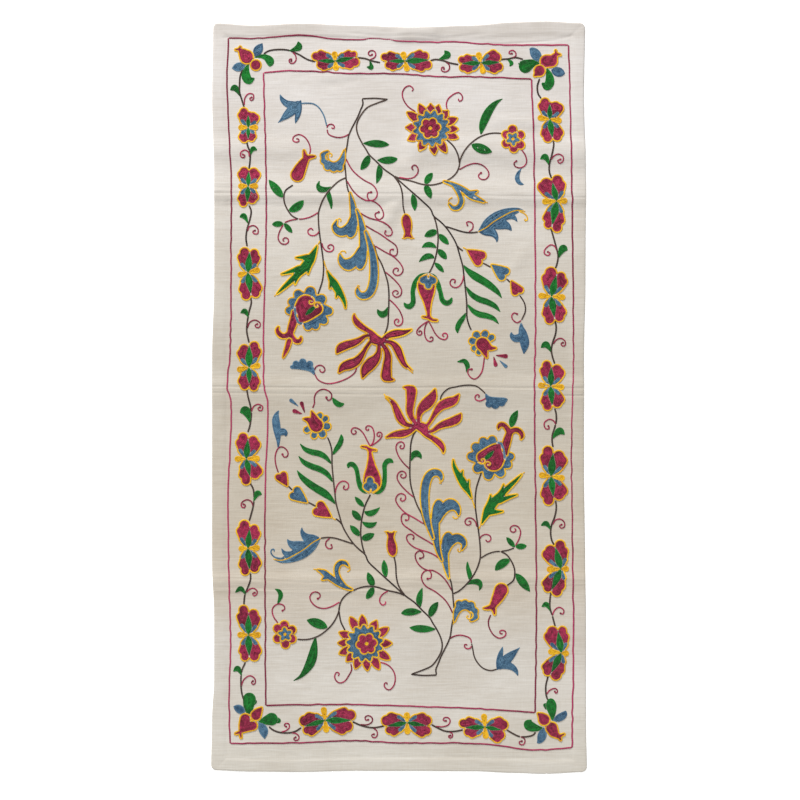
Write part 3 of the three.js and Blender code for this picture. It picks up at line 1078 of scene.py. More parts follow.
# Brown stems of one tree.
STEMS = [
    [(16, -368), (32, -369.5), (50, -369)],
    [(16, -368), (30, -363), (43, -357), (50, -349), (56, -338), (57.5, -330), (56, -321), (50, -308),
     (45, -300), (41, -293), (31, -283), (20, -272), (9, -264), (-10, -247), (-19, -239), (-30, -229),
     (-41, -218), (-45, -209), (-53, -202), (-60, -195), (-68, -184), (-75, -171), (-79, -158), (-84, -139),
     (-85, -130), (-87, -112), (-89, -90), (-89.5, -70), (-92, -60), (-95, -53)],
    [(-45, -209), (-48, -200), (-50, -190), (-51, -180), (-50, -165), (-47, -150), (-44, -141), (-38, -129)],
    [(-60, -195), (-72, -191), (-85, -187), (-95, -186), (-104, -187)],
    [(-75, -171), (-78, -166), (-84, -161)],
    [(-110, -145), (-121, -139)],
    [(-142, -123), (-147, -118)],
    [(9, -264), (0, -260), (-15, -256.5), (-30, -252), (-42, -251), (-52, -253), (-62, -257), (-70, -262),
     (-76, -269), (-79, -277), (-80, -284), (-84, -294), (-90, -303), (-97, -310), (-107, -317), (-118, -321),
     (-127, -322), (-135, -321.5)],
    [(-6.5, -212), (-4.5, -222), (-3.5, -238), (-1, -249), (4, -258), (9, -264)],
    [(50, -369), (49, -362), (52, -354), (56, -344), (60, -336), (65, -326), (68, -318), (70, -305),
     (72, -293), (73, -280), (72, -268), (71, -257), (69, -245), (66, -237), (61, -225), (56, -213),
     (50, -201), (46, -190), (40, -178), (34, -168), (30, -155), (24, -143), (20, -132), (16, -118),
     (14.5, -105), (14.5, -90), (15, -75), (16, -60), (19, -50), (24, -42)],
    [(72, -261), (80, -257), (88, -250), (95, -242), (102, -231), (106, -221), (108, -213), (108, -200),
     (107, -188), (105, -172), (103, -158), (101.5, -145), (101.5, -132), (103, -120), (106, -110),
     (109.5, -100)],
    [(135, -204.5), (143, -209), (149, -217), (153, -226), (154, -234), (152, -243), (142, -251)],
]
# Crimson tendrils of one tree: each with the half width of the knot at its end.
TENDRILS = [
    ([(-79, -272), (-90, -278), (-100, -280.5), (-110, -278), (-117, -271), (-118.5, -265), (-115, -259.5),
      (-110, -258.5), (-105.5, -261), (-105, -265), (-108, -267.5)], 1.7),
    ([(-161, -300), (-167, -291), (-168.5, -282), (-165, -276.5), (-159, -274.5), (-153, -277), (-152, -281),
      (-155, -283.5)], 1.5),
    ([(72, -288), (66, -276), (60, -268), (48, -258), (36, -251), (31, -244), (30, -237), (34, -231),
      (40, -230), (43, -235), (42, -240), (38, -241)], 1.7),
    ([(71, -258), (62, -243), (54, -235), (45, -230), (36, -229), (27, -223), (22, -214), (22, -208),
      (27, -204), (32, -207), (32.5, -212), (28, -214)], 1.7),
    ([(58, -218), (48, -210), (40, -206), (30, -203), (20, -199), (12, -192), (10, -186), (12, -182.5),
      (17, -182), (20, -185), (19, -188)], 1.5),
    ([(46, -196), (38, -191), (26, -184), (15, -176), (5, -168), (3, -160), (5, -155), (10, -155), (13, -158),
      (12, -163), (9, -163)], 1.5),
    ([(33, -168), (20, -160), (8, -153), (-2, -142), (-4.4, -135), (-1, -129), (4, -127.8), (8.6, -131),
      (8, -135.8), (4.4, -137.8), (1.6, -135.6), (3.4, -133)], 0),
    ([(20, -133), (10, -124.5), (1, -114.5), (-2.5, -107), (-1, -100.6), (4, -97.9), (8.6, -100.3),
      (9.2, -104.8), (6, -107), (2.6, -105.8), (2.4, -102.8), (4.8, -102)], 0),
    ([(14, -95), (5, -86), (-1, -77), (-4, -67), (-2.5, -61.5), (2, -58.8), (6.2, -60.8), (7, -65),
      (4.8, -68), (1.6, -67.2), (1.6, -64.4), (3.6, -63.8)], 0),
    ([(122, -289), (119, -297), (120, -306), (126, -316), (134, -320), (141, -317), (142, -312),
      (138, -309.5), (134, -311), (135, -314), (138, -314)], 0),
    ([(66, -322), (72, -318), (80, -316), (89, -317.5), (95, -321), (96.5, -327)], 0),
    ([(97, -329), (95, -333), (90, -334), (87, -331), (88, -328), (91, -329.5)], 0),
    ([(-85, -133), (-84, -122), (-80, -114), (-74, -111), (-68, -114), (-67, -119), (-70, -122.5),
      (-74, -121), (-73, -118)], 1.4),
    ([(-92, -187), (-97, -192), (-97, -198), (-93, -201), (-89, -200), (-90, -196)], 1.4),
    ([(103.5, -172), (101.5, -165), (97, -160.8), (91.5, -160.3), (88, -163.6), (88.6, -168), (92.3, -169.7),
      (95.6, -167.4), (94.6, -164.4), (92.2, -164.8)], 0),
    ([(107, -190), (109, -185), (115, -182), (121, -184), (122, -189), (118, -192), (115, -189)], 0),
    ([(155, -197), (160, -187), (161.6, -178), (158, -171.6), (152, -170.3), (148, -173.5), (149, -178),
      (153, -179), (155.5, -176), (153.4, -174)], 0),
]
# How wide most of the stems are.
STEM_WIDTH = 2.5


def stems(d):
    """The brown stems, some of them in another colour on the upper tree."""
    if d.upper:
        d.line("brown", [], [(-160.5, -136), (-167, -125), (-168, -115), (-163, -103)])
    for points in STEMS:
        d.line("brown", points, width=STEM_WIDTH)
    d.line("brown", [(-80, -280), (-79, -290), (-77, -299), (-71, -311)],
           [(-80.5, -307), (-79, -320), (-73, -333), (-62, -344)], width=STEM_WIDTH)
    pair = [(108, -214), (118, -208), (128, -205), (135, -204.5), (145, -203), (153, -200)]
    d.line(d.either("brown", "crimson"), pair)
    bell = [(96.5, -327), (98, -334), (100, -344), (104, -352), (112, -360), (122, -363), (131, -361)]
    bell_above = [(96, -361), (100, -375), (107, -386), (114, -390.5), (124, -391.5), (131, -391)]
    d.line(d.either("brown", "blue"), bell, bell_above)
    half = [(55, -4), (55.5, 0), (58, 5), (66, 12), (75, 14), (85, 16), (95, 16.5), (103, 15), (110, 10),
            (115, 5)]
    half_above = [(56, -40), (59, -33), (68, -26), (80, -21), (92, -18.5), (100, -19.5), (108, -24),
                  (112, -31)]
    d.line(d.either("brown", "crimson"), half, half_above)


def tendrils(d):
    low_curl = [(-14, -257), (-21, -261), (-25, -266), (-25.5, -272), (-22, -276), (-18, -274), (-18, -271)]
    low_curl_above = [(0, -293), (-12, -291), (-20, -293), (-25, -299), (-25, -305), (-21, -309), (-17, -306),
                      (-19, -302)]
    left = [(-64, -354), (-63, -362), (-67, -370), (-72, -377), (-79, -379.5), (-84, -376), (-85.5, -370),
            (-83, -365.5), (-79.5, -367), (-81, -370.5)]
    left_above = [(-64, -383), (-63, -391), (-67, -399), (-79, -405.5), (-84, -401), (-84, -396), (-80, -394),
                  (-79, -397.5)]
    right = [(-25, -352), (-16, -355), (-10, -360), (-6, -367), (-5, -375), (-7, -383), (-12, -388.5),
             (-16, -388), (-19.5, -384), (-19, -380), (-16, -379.5), (-16, -382)]
    right_above = [(-22, -380), (-12, -387), (-6, -396), (-4.5, -405), (-8, -412), (-14, -414.5), (-19, -410),
                   (-17, -407)]
    half_flower_curl = [(115, 5), (115.5, 0), (112, -3), (106, -4.5), (101.5, -2), (101.5, 2), (105, 4),
                        (107, 1), (105, 0.5)]
    half_flower_curl_above = [(112, -31), (112.5, -36), (110, -41), (105, -43), (100, -40.5), (98.5, -36.5),
                              (101, -33.5), (105, -35), (105, -38)]
    for own, above in (
        (low_curl, low_curl_above), (left, left_above), (right, right_above),
        (half_flower_curl, half_flower_curl_above)
    ):
        d.line("crimson", own, above)
    for points, knot in TENDRILS:
        d.line("crimson", points, knot=knot)
    heart_line = [(-160.5, -100), (-164, -88), (-164.5, -77), (-161, -68), (-157, -65.5), (-151, -68),
                  (-147.5, -74), (-149, -78.5), (-153, -79), (-155, -75.5)]
    heart_line_above = [(-163, -103), (-157, -99.5), (-151, -104), (-150, -109), (-153, -112.5), (-157, -111)]
    d.line("crimson", heart_line, heart_line_above, knot=1.6)


# The motifs of a tree, from those on top to those that lie under them.
MOTIFS = (
    lily, pomegranate, big_tulip, blue_petal_tulip, rosette, small_flower, hearts, buds, blue_plumes,
    shell_flower, split_leaf, feather, fleur, bell_and_half_flower, serrated_leaves, stems, leaves,
    tulip_curls, tendrils,
)


def tree(d):
    """One flowering tree. A motif's shift moves it on the upper tree."""
    for motif in MOTIFS:
        d.shift = None
        motif(d)


# The border's double flowers: the bow's x, y and turn in degrees; its left and right half lengths and its
# tilt in degrees; then for each half the tip of its green leaf, and the reach and spread of its two wings.
DOUBLE_FLOWERS = [
    (-200.5, 359, 0, (13.5, 13.5, 0), ((0, 16), (27, 15), (21, 16)), ((0, -15), (21, 14), (19.5, 12))),
    (-200.5, 281, 0, (13.5, 13.5, 0), ((0.8, 19), (26, 15), (25, 17.5)), ((-1.2, -21), (28, 15), (24, 15))),
    (-201, 166, 0, (13.8, 16.5, 15), ((2.4, 26.6), (34, 15), (32, 18)), ((3.8, -27.4), (37, 13), (34, 20))),
    (-199.5, 40, 0, (16.3, 15.5, 12), ((0.4, 28.6), (31, 17), (35, 17.5)),
     ((0.4, -21.4), (30.5, 15.6), (32, 16))),
    (-203.2, -81.4, 0, (15.6, 18.4, 1), ((2.4, 25), (35, 15), (31, 20.4)),
     ((5, -23), (35.6, 11), (27.6, 23))),
    (-200.8, -200.5, 0, (12.8, 16, 3), ((2, 24.6), (38, 16.4), (32, 18)),
     ((2, -27.4), (36.4, 13.6), (33, 19))),
    (-200.2, -315.6, 0, (15, 16.9, 0), ((0, 26.6), (40, 17), (34.6, 17.4)),
     ((1, -27.4), (35.4, 14), (35.4, 18.6))),
    (200.4, 370, 0, (16.4, 16.3, -8), ((0, 20), (29, 16.4), (24, 19.6)),
     ((3.6, -24), (31.6, 13), (30, 19.6))),
    (209.6, 261, 0, (19.6, 14.4, 2), ((-5.6, 24), (31.4, 26.6), (35.4, 13)),
     ((-5.6, -31), (37, 19.6), (42, 12))),
    (202.6, 134.4, 0, (17.6, 18.9, -4), ((6.6, 27.6), (39.6, 14), (33, 22.6)),
     ((4, -27.4), (37.4, 13.4), (34.4, 21))),
    (201.6, 15, 0, (17.1, 18.4, -5), ((1, 25), (34.6, 15.4), (29.4, 20)), ((2, -25), (33, 14.4), (29, 19.6))),
    (202.2, -105, 0, (16.4, 18.4, -8), ((2.6, 30), (41, 16), (35, 22.6)), ((3, -26), (39, 15), (32, 23))),
    (215.2, -228, 0, (19, 11, 2), ((-7, 28), (32.4, 26), (39, 11)), ((-11.6, -27), (31.6, 26.4), (37, 7))),
    (215.8, -339.6, 0, (17.8, 10.4, -7), ((-4, 27.6), (36, 24), (36, 11.4)),
     ((-13, -26), (31, 27), (37, 5.6))),
    (-84.7, 447, -90, (13.5, 12.7, 6), ((-5, 24.7), (29.4, 15.8), (32.7, 11.3)),
     ((-0.8, -22.8), (32, 15.8), (25.3, 13.3))),
    (8, 447.3, -90, (12.9, 14.1, 14), ((-1.4, 31), (32.3, 15.9), (36.2, 15)),
     ((0, -21.3), (32.7, 13.9), (27.2, 13.6))),
    (108.8, 444.8, -90, (14.7, 14.8, 15), ((-0.9, 24.5), (27.5, 18.4), (30, 15)),
     ((0.8, -24.6), (30.5, 12.5), (29, 14.5))),
    (-98.3, -429.3, -90, (18, 16.5, 7), ((0, 34), (41.3, 18.3), (37.5, 19.7)),
     ((7.9, -26.7), (35, 11.6), (30, 21.7))),
    (10.8, -432.3, -90, (14, 16, 2), ((3.8, 24.2), (33.4, 14.1), (32.5, 20.5)),
     ((4.5, -25.8), (35, 14.6), (29.5, 18.7))),
    (114.3, -438.3, -90, (18, 15.7, 5), ((3.7, 21.5), (31.5, 14.6), (27.3, 21.7)),
     ((0.7, -26), (35, 14.6), (28.5, 15.4))),
]
# A double flower's proportions. A petal lobe's share of its wing's spread, how far up the side lobes sit,
# and the room that a lobe leaves for its outline.
LOBE_SHARE = 0.39
SIDE_LOBE_AT = 0.6
EDGE_ROOM = 2.0
# The green leaf's half width as a share of its length, by the flower's turn, and its two widest places.
LEAF_SHARE = {0: 0.17, -90: 0.125}
LEAF_PLACES = ((0.38, 1), (0.7, 0.62))
# The bow: half its width in the middle, part of the way out, and at its round ends.
BOW_MIDDLE = 1.3
BOW_WAIST = 3
BOW_END = 4.2
# The blue petal's share of the wing's spread and reach, and its half width there.
BLUE_PLACES = ((0.34, 0.2, 1.9), (0.52, 0.32, 2.3))
# The middle petal's share of the reach, and its half width as a share of the spread.
MIDDLE_REACH = 0.55
MIDDLE_SHARE = 0.38


def green_leaf(tip_x, tip_y, turn):
    widest = LEAF_SHARE[turn] * abs(tip_y)
    places = [(tip_x * at, tip_y * at, widest * share) for at, share in LEAF_PLACES]
    return [(0, math.copysign(0.5, tip_y), 0.7), *places, (tip_x, tip_y, 0.3)]


def bow_lobe(side, half, rise):
    near, far = side * half * 0.4, side * (half - BOW_END)
    return [(0, 0, BOW_MIDDLE), (near, near * rise, BOW_WAIST), (far, far * rise, BOW_END)]


def blue_petal(side, up, reach, spread):
    places = [(side * spread * out, up * reach * on, half) for out, on, half in BLUE_PLACES]
    return [(side * 1.6, up * 2.6, 0.8), *places]


def crimson_petals(side, up, lean, reach, spread):
    """The two lobes of one wing, and the middle petal that fills in between the wings."""
    span = spread - side * lean * reach * 0.75
    lobe = LOBE_SHARE * span
    half = lobe - EDGE_ROOM
    inner = (lean * (reach - lobe) + side * (lobe - 0.1), up * (reach - lobe - 0.3), half + 0.9)
    outer = (side * (spread - lobe), up * reach * SIDE_LOBE_AT, half + 0.3)
    root = (side * 0.8, up * 2.2, 0.4)
    petals = [[root, (x * 0.6, y * 0.52, r * 0.8), (x, y, r)] for x, y, r in (inner, outer)]
    under_blue = [(x, y, r + 0.3) for x, y, r in blue_petal(side, up, reach, spread)]
    middle = (lean * reach * MIDDLE_REACH, up * reach * MIDDLE_REACH, spread * MIDDLE_SHARE)
    return petals + [under_blue, [(0, up * 4, 1), middle]]


def double_flower(d, bow_x, bow_y, turn, bow, *halves):
    """Two fans of scalloped petals, tip to tip, with a tilted yellow bow between them."""
    cos, sin = math.cos(math.radians(turn)), math.sin(math.radians(turn))
    left, right, tilt = bow
    rise = math.tan(math.radians(tilt))

    def turned(stroke):
        return [(bow_x + cos * x - sin * y, bow_y + sin * x + cos * y, r) for x, y, r in stroke]

    for tip, *_ in halves:
        d.shape("green", turned(green_leaf(*tip, turn)))
    for side, half in ((-1, left), (1, right)):
        d.shape("yellow", turned(bow_lobe(side, half, rise)))
    for (tip_x, tip_y), *wings in halves:
        up = math.copysign(1, tip_y)
        lean = tip_x / abs(tip_y)
        petals = []
        for side, (reach, spread) in zip((-1, 1), wings):
            d.shape("blue", turned(blue_petal(side, up, reach, spread)))
            petals += [turned(petal) for petal in crimson_petals(side, up, lean, reach, spread)]
        d.outlined("crimson", *petals)


# The stems that join the border's flowers, each with its comma leaf as tip, top and root.
LINKS = [
    ([(-206, 440), (-211, 428), (-212, 416), (-212, 406), (-209, 396), (-206, 386)],
     ((-224, 409), (-219, 416), (-211.6, 401))),
    ([(-202.6, 342), (-201, 334), (-198, 326), (-198, 316), (-199.4, 304)],
     ((-189, 329), (-194, 334), (-197.6, 322))),
    ([(-199.4, 255.6), (-196.6, 248), (-198, 238), (-202, 224), (-203.4, 212), (-202, 201)],
     ((-211.4, 240), (-207, 245), (-201, 232))),
    ([(-197, 133), (-196.4, 126), (-199.4, 114), (-201.8, 100), (-202.4, 88), (-199.4, 73)],
     ((-210.4, 112.4), (-205.4, 118.4), (-200, 106))),
    ([(-202.4, 11), (-200.4, 0), (-197.4, -12), (-196.4, -22), (-198.4, -38), (-201, -46)],
     ((-211, -20), (-204.4, -11.6), (-197.8, -34))),
    ([(-197.8, -114), (-193.8, -122), (-192.8, -132), (-193.8, -144), (-196.8, -156), (-199.2, -164)],
     ((-182.8, -129), (-187.8, -123.6), (-193.2, -138))),
    ([(-197.4, -233.6), (-197.4, -242), (-200.8, -252), (-204.8, -262), (-206.4, -276)],
     ((-217.4, -259), (-210.8, -250.4), (-204, -262))),
    ([(-204.2, -352), (-209.2, -364), (-210.2, -378), (-209.2, -392), (-206.6, -402)],
     ((-220, -364), (-215, -356.4), (-209.2, -370))),
    ([(187, 424), (184, 414), (185, 404), (189, 397.6)], None),
    ([(205, 341.6), (205.6, 336), (203, 322), (200, 310), (200, 300), (203, 291)],
     ((188, 317), (194, 324), (199.4, 309))),
    ([(202, 225), (204, 218), (209, 200), (211.6, 188), (209.6, 176), (208, 172)],
     ((223.6, 196), (219, 203), (211.6, 185))),
    ([(207.6, 102), (209, 94), (208, 84), (204.6, 74), (202.6, 64), (203.6, 56), (207, 45)],
     ((189, 66.4), (194.6, 75), (202.6, 60))),
    ([(207, -14.4), (209, -22), (209, -32), (207, -40), (204, -50), (203.6, -58), (204.8, -66)],
     ((220, -49), (215, -40), (204, -55))),
    ([(208.2, -137), (209.2, -146), (207.2, -158), (202.8, -170), (201.6, -180), (203.2, -190),
      (206.2, -196)],
     ((189.2, -170), (195.2, -164), (201.6, -176))),
    ([(202.2, -259), (200.8, -268), (200.8, -280), (203.8, -290), (207.8, -305)],
     ((190, -278), (195.5, -271.5), (201, -284))),
    ([(198.4, -370), (195.2, -384), (195.8, -396), (197.8, -402)], None),
    ([(-180, 457), (-173, 461), (-160, 462.8), (-146.7, 461.7), (-133, 456), (-121.7, 449.5),
      (-111.7, 446.5)],
     ((-134, 473), (-129, 466), (-146, 461))),
    ([(-55, 452), (-45, 450.7), (-36.7, 447.8), (-25, 445.3)], ((-42.5, 439.5), (-35, 436), (-39, 448))),
    ([(41.7, 448), (48.3, 449.5), (58.3, 448), (68.3, 444.8), (79, 442.7)],
     ((60.8, 461), (69, 456), (52.5, 449.5))),
    ([(133.3, 448.7), (138.3, 449.8), (145, 450.3), (155, 452), (165, 449.8)],
     ((147.5, 440.7), (152, 444), (143.3, 450.3))),
    ([(-173, -437.7), (-168, -441.8), (-160, -445), (-148, -446), (-138, -444), (-130, -439)], None),
    ([(-61.7, -431), (-53.3, -435), (-43.3, -438), (-33.3, -439), (-20, -436.8)], None),
    ([(43.3, -435), (51.7, -439.5), (61.7, -443.7), (73.3, -444), (85, -442)], None),
    ([(143.3, -442), (151.7, -447), (160, -450.7), (170, -451), (178.3, -448.7), (181.7, -445)], None),
]
# Crimson curls of the border.
CURLS = [
    [(-205.6, 389), (-205, 398), (-200, 404), (-194, 403), (-193.6, 397), (-197, 395), (-198.4, 398),
     (-196, 399)],
    [(-199, 320), (-200, 326), (-205, 329), (-210.4, 325.6), (-210, 320), (-206, 319), (-205, 322),
     (-207.6, 323)],
    [(-201.6, 221), (-199, 227), (-193, 228.6), (-187.6, 224), (-188, 218), (-193, 218), (-194.4, 221),
     (-191.6, 222)],
    [(-201.8, 92), (-198.4, 100), (-191.4, 103), (-184.8, 99), (-185.4, 94), (-189.4, 93), (-191.4, 96.4),
     (-188.4, 97.6)],
    [(-196.4, -19), (-193.4, -12), (-187.4, -9), (-181.4, -12), (-182.4, -17), (-186.4, -17), (-187.4, -14),
     (-184.8, -13)],
    [(-193.8, -145), (-196.8, -138), (-202.8, -136), (-209.2, -140), (-209.4, -145), (-205.8, -146.4),
     (-204.4, -143), (-206.8, -142)],
    [(-202.8, -259), (-198.8, -255), (-193.8, -253.6), (-188.8, -257), (-189.4, -262), (-193.2, -263.6),
     (-194.4, -260.4), (-191.8, -259.6)],
    [(-209.8, -384), (-206.2, -375), (-198.2, -370), (-191.8, -374), (-191.2, -379.6), (-194.2, -381.6),
     (-196.2, -378.4), (-194.2, -377)],
    [(202, 316), (206, 321), (212, 323.4), (218, 320), (217.6, 313.6), (213, 311.6), (211, 315),
     (214.6, 316.4)],
    [(209.6, 196), (207, 201), (201.6, 203), (193.6, 196), (193.6, 191), (198.6, 189), (201, 192),
     (198, 193.6)],
    [(205, 71), (209.6, 77), (216, 78.6), (221, 74.4), (220.6, 69), (216.6, 69), (215.6, 72), (218, 73)],
    [(208.6, -36), (205.6, -31), (199.6, -29), (193.6, -33), (193.2, -38), (196, -42), (200, -41),
     (198.6, -38)],
    [(204.2, -169), (208.2, -163), (214.2, -161.6), (219.8, -166), (219.8, -172), (215.2, -173.6),
     (213.6, -170.4), (216.2, -169)],
    [(203.8, -290), (206.8, -283), (212.8, -279), (219.2, -283), (217.8, -288), (214.8, -287)],
    [(195.8, -395), (200.8, -389), (207.8, -387), (210.8, -390), (208.8, -393.6), (207.2, -391)],
    [(-141.7, 459.5), (-137.5, 454.5), (-137, 448.7), (-140.8, 444.5), (-145.3, 445.3), (-145.8, 449.5),
     (-142.5, 450), (-143.3, 447.5)],
    [(-38.3, 449.5), (-33.3, 451.7), (-30.8, 456), (-33.3, 460.7), (-38.3, 461), (-40.8, 457.8),
     (-38.7, 454.5), (-35.8, 456)],
    [(61.7, 446.5), (66.7, 442.3), (66.7, 436.5), (61.7, 433), (56.7, 434.8), (57, 439), (60, 439),
     (59.7, 436.8)],
    [(150, 451.5), (155, 454), (155.3, 458), (151.7, 461.5), (147, 460.3), (146.7, 457), (150, 457.3)],
    [(-156.7, -445), (-150, -442.7), (-145.8, -438.5), (-146.7, -434), (-150.8, -433.5), (-152.5, -436),
     (-150, -437.7)],
    [(-143.3, -445.7), (-136.7, -447), (-133, -451), (-134, -455), (-138, -456), (-140, -453.5),
     (-137.5, -451.8)],
    [(-51.7, -435), (-41.7, -435), (-35.8, -431), (-35.8, -426), (-40.8, -423), (-45, -425), (-44, -429),
     (-40.8, -428.5)],
    [(-35, -439), (-30, -442.7), (-28.7, -447.7), (-30.8, -451.8), (-35, -451.8), (-36.3, -448.5),
     (-33.3, -447.7)],
    [(48.3, -437.3), (58.3, -437.8), (65.8, -435), (68, -429.5), (65, -425.7), (60, -426), (59, -429.5),
     (62.5, -430)],
    [(66.7, -444.5), (70.8, -447), (70.8, -451), (67.5, -452.8), (65.8, -450), (68.3, -449.5)],
    [(161.7, -451), (166.7, -453.7), (167.5, -457.8), (165, -461.7), (160.8, -461), (160, -457.8),
     (163.3, -457)],
]


# A comma leaf's head, as a share of its length, and its neck, as a share of its head.
COMMA_HEAD = 0.25
COMMA_NECK = 0.62


def comma_leaf(d, tip, top, root):
    """A small leaf with a round head, a hooked tip and a narrow tail."""
    tip, top, root = (np.array(p, float) for p in (tip, top, root))
    size = COMMA_HEAD * math.hypot(*(top - root))
    middle = (tip + top + root) / 3
    head = top + (middle - top) * 0.55
    neck = root * 0.5 + head * 0.5 + (top - tip) * 0.1
    d.shape("green", [(*root, 0.6), (*neck, size * COMMA_NECK), (*head, size), (*tip, 0.7)])


# The crimson flower and bud of each corner spray, as strokes of x, y and half width.
CORNER_BUDS = [
    ([[(-202.6, 452.8, 8.4)], [(-206, 456.6, 6), (-209.6, 460.4, 3.2), (-212, 463, 1.6)],
      [(-212, 463, 1.2), (-217, 462.4, 0.8)], [(-212, 463, 1.2), (-211, 466, 0.8)]], [[(-190.4, 442, 6.3)]]),
    ([[(196, 447, 7.6), (203, 447.4, 7.2)], [(204, 449, 5.4), (207.5, 454.4, 3), (209, 457, 1.6)],
      [(209, 457, 1.2), (208.3, 461.3, 0.8)], [(209, 457, 1.2), (214.3, 455.6, 0.8)]],
     [[(187, 434.4, 6.8)], [(184, 431, 3.4), (180, 427.4, 0.5)]]),
    ([[(-204.4, -427.4, 6.2), (-206, -436, 6), (-209.6, -442.6, 2.2)],
      [(-194.4, -436.4, 5.4), (-202, -438, 5.6), (-210, -444, 1.6)], [(-211, -445, 1.4), (-217, -447, 0.9)],
      [(-211, -445, 1.4), (-210, -452, 0.9)]],
     [[(-190.2, -422.6, 6.2), (-187.6, -418.6, 4.6), (-182.6, -412.8, 0.6)]]),
    ([[(203, -439.4, 7.2), (205.4, -444.6, 6)], [(206, -446, 4.8), (210.6, -449.6, 3), (213.5, -451.4, 1.8)],
      [(213, -450.5, 1.6), (219.6, -447.8, 0.8)], [(213, -450.5, 1.6), (214.8, -455, 1)]],
     [[(193, -428.4, 7)], [(190, -424.4, 4.4), (185, -420.2, 0.6)]]),
]
# The sprays' leaves, each with its colour.
CORNER_LEAVES = [
    ("blue", [(-192, 454, 0.8), (-187.6, 461.5, 6), (-181.6, 471, 0.4)]),
    ("blue", [(-205, 442, 0.8), (-212.7, 439.6, 6), (-222, 437.7, 0.4)]),
    ("green", [(-193.4, 452.7, 1.2), (-184, 453.8, 2.4), (-176.4, 452, 4), (-171.4, 446.8, 5.4),
               (-172, 440.8, 1)]),
    ("green", [(-200.4, 443.4, 1), (-203.4, 434, 4.4), (-203, 426, 6.2), (-199.6, 421.6, 5),
               (-193, 424, 1.2)]),
    ("blue", [(188, 446.4, 0.8), (182, 456, 6.8), (176, 463, 2.4), (173.6, 463, 0.4)]),
    ("blue", [(203, 435.3, 0.8), (211.5, 433, 6.4), (220.6, 430.6, 0.4)]),
    ("green", [(188, 444, 1.2), (178, 444.6, 4.8), (168, 440.4, 8.8)]),
    ("green", [(166, 442, 7), (167, 435, 4)]),
    ("green", [(196.6, 437.4, 1), (200, 428, 4.6), (200.2, 418.5, 6.2), (196.6, 413.4, 5), (191.4, 417, 2)]),
    ("blue", [(-205.4, -420.3, 0.8), (-212, -414.5, 5.6), (-220, -410.6, 0.4)]),
    ("blue", [(-186.6, -432.6, 0.8), (-180.4, -442, 6.2), (-178.6, -454, 0.4)]),
    ("green", [(-199, -424.4, 1), (-200, -412, 6.4), (-199, -401, 8.6)]),
    ("green", [(-197, -405, 6.6), (-191.8, -404.4, 3)]),
    ("green", [(-187, -432.4, 0.8), (-178, -429.6, 5.2), (-169.4, -427.6, 8.4)]),
    ("green", [(-168, -428, 6), (-160.6, -429.6, 3.6)]),
    ("blue", [(205.4, -429.4, 0.8), (213, -426, 5), (219.6, -421.4, 4), (221.8, -416.6, 0.4)]),
    ("blue", [(192.6, -439.6, 1), (190.4, -449, 6), (187.6, -456, 3.8), (183.8, -459.6, 0.5)]),
    ("green", [(204, -429.4, 0.8), (203.6, -419, 4.8), (202.4, -409.4, 7), (202, -405.6, 5.6)]),
    ("green", [(198.6, -410.6, 5.6), (194, -409, 2.4)]),
    ("green", [(192.4, -440.3, 0.8), (182, -439.4, 4.6), (172.8, -436, 6.6), (171, -432.6, 4),
               (175.6, -429.2, 1)]),
]


def corners(d):
    """The four corner sprays."""
    for flower, bud in CORNER_BUDS:
        d.outlined("crimson", *bud)
        d.outlined("crimson", *flower)
    for colour, stroke in CORNER_LEAVES:
        d.shape(colour, stroke)


# The two rose lines of the frame, side by side from the left one round to the bottom.
FRAME_LINES = [
    [(-227, 478), (-228.6, 409), (-223.3, 289), (-223.3, 203), (-224.6, 63), (-228.1, 11), (-223.8, -3),
     (-227.3, -136), (-226, -242), (-223.8, -336), (-226, -389), (-224.4, -460)],
    [(225.5, 468.6), (229.4, 302), (231.9, 63), (229.4, -70), (231.9, -296), (230, -465.5)],
    [(-227, 478), (-180, 478), (-134, 481.8), (-72, 475.8), (-25, 477.4), (1, 474.1), (74, 472.5), (141, 469),
     (225.5, 468.6)],
    [(-224.4, -460), (-132, -459.2), (-65, -456.5), (1, -459.2), (108, -460.5), (181, -468.5), (230, -465.5)],
    [(-180, 431.9), (-178.1, 355), (-176.4, 262), (-178.9, 11), (-175, -3), (-178.1, -136), (-177.2, -409.5)],
    [(176.3, 423.5), (179.4, 329), (181.4, 90), (180.2, -3), (182.7, -282), (181, -419)],
    [(-180, 431.9), (-145, 434.6), (-72, 431.3), (1, 430.3), (54, 426.6), (94, 426.6), (176.3, 423.5)],
    [(-177.2, -409.5), (-92, -408.1), (1, -409.9), (108, -414), (181, -419)],
]
FRAME_STEP = 8
FRAME_STRAY = 0.28
FRAME_WIDTH = 2.6


def frame_lines(d):
    """The frame, with the small strays of lines sewn by eye."""
    for points in FRAME_LINES:
        path = smooth_line(points, FRAME_STEP)
        path[1:-1] += rng.normal(0, FRAME_STRAY, (len(path) - 2, 2))
        d.line("rose", path, width=FRAME_WIDTH)


# The width of a joining stem, and the half width of the knot that ends a curl.
LINK_WIDTH = 2.8
CURL_KNOT = 1.5


def border(d):
    """The flower border, its corner sprays, and the leaves, curls and stems between its flowers."""
    for row in DOUBLE_FLOWERS:
        double_flower(d, *row)
    corners(d)
    for _, comma in LINKS:
        if comma:
            comma_leaf(d, *comma)
    for points in CURLS:
        d.line("crimson", points, knot=CURL_KNOT)
    for stem, _ in LINKS:
        d.line("brown", stem, width=LINK_WIDTH)


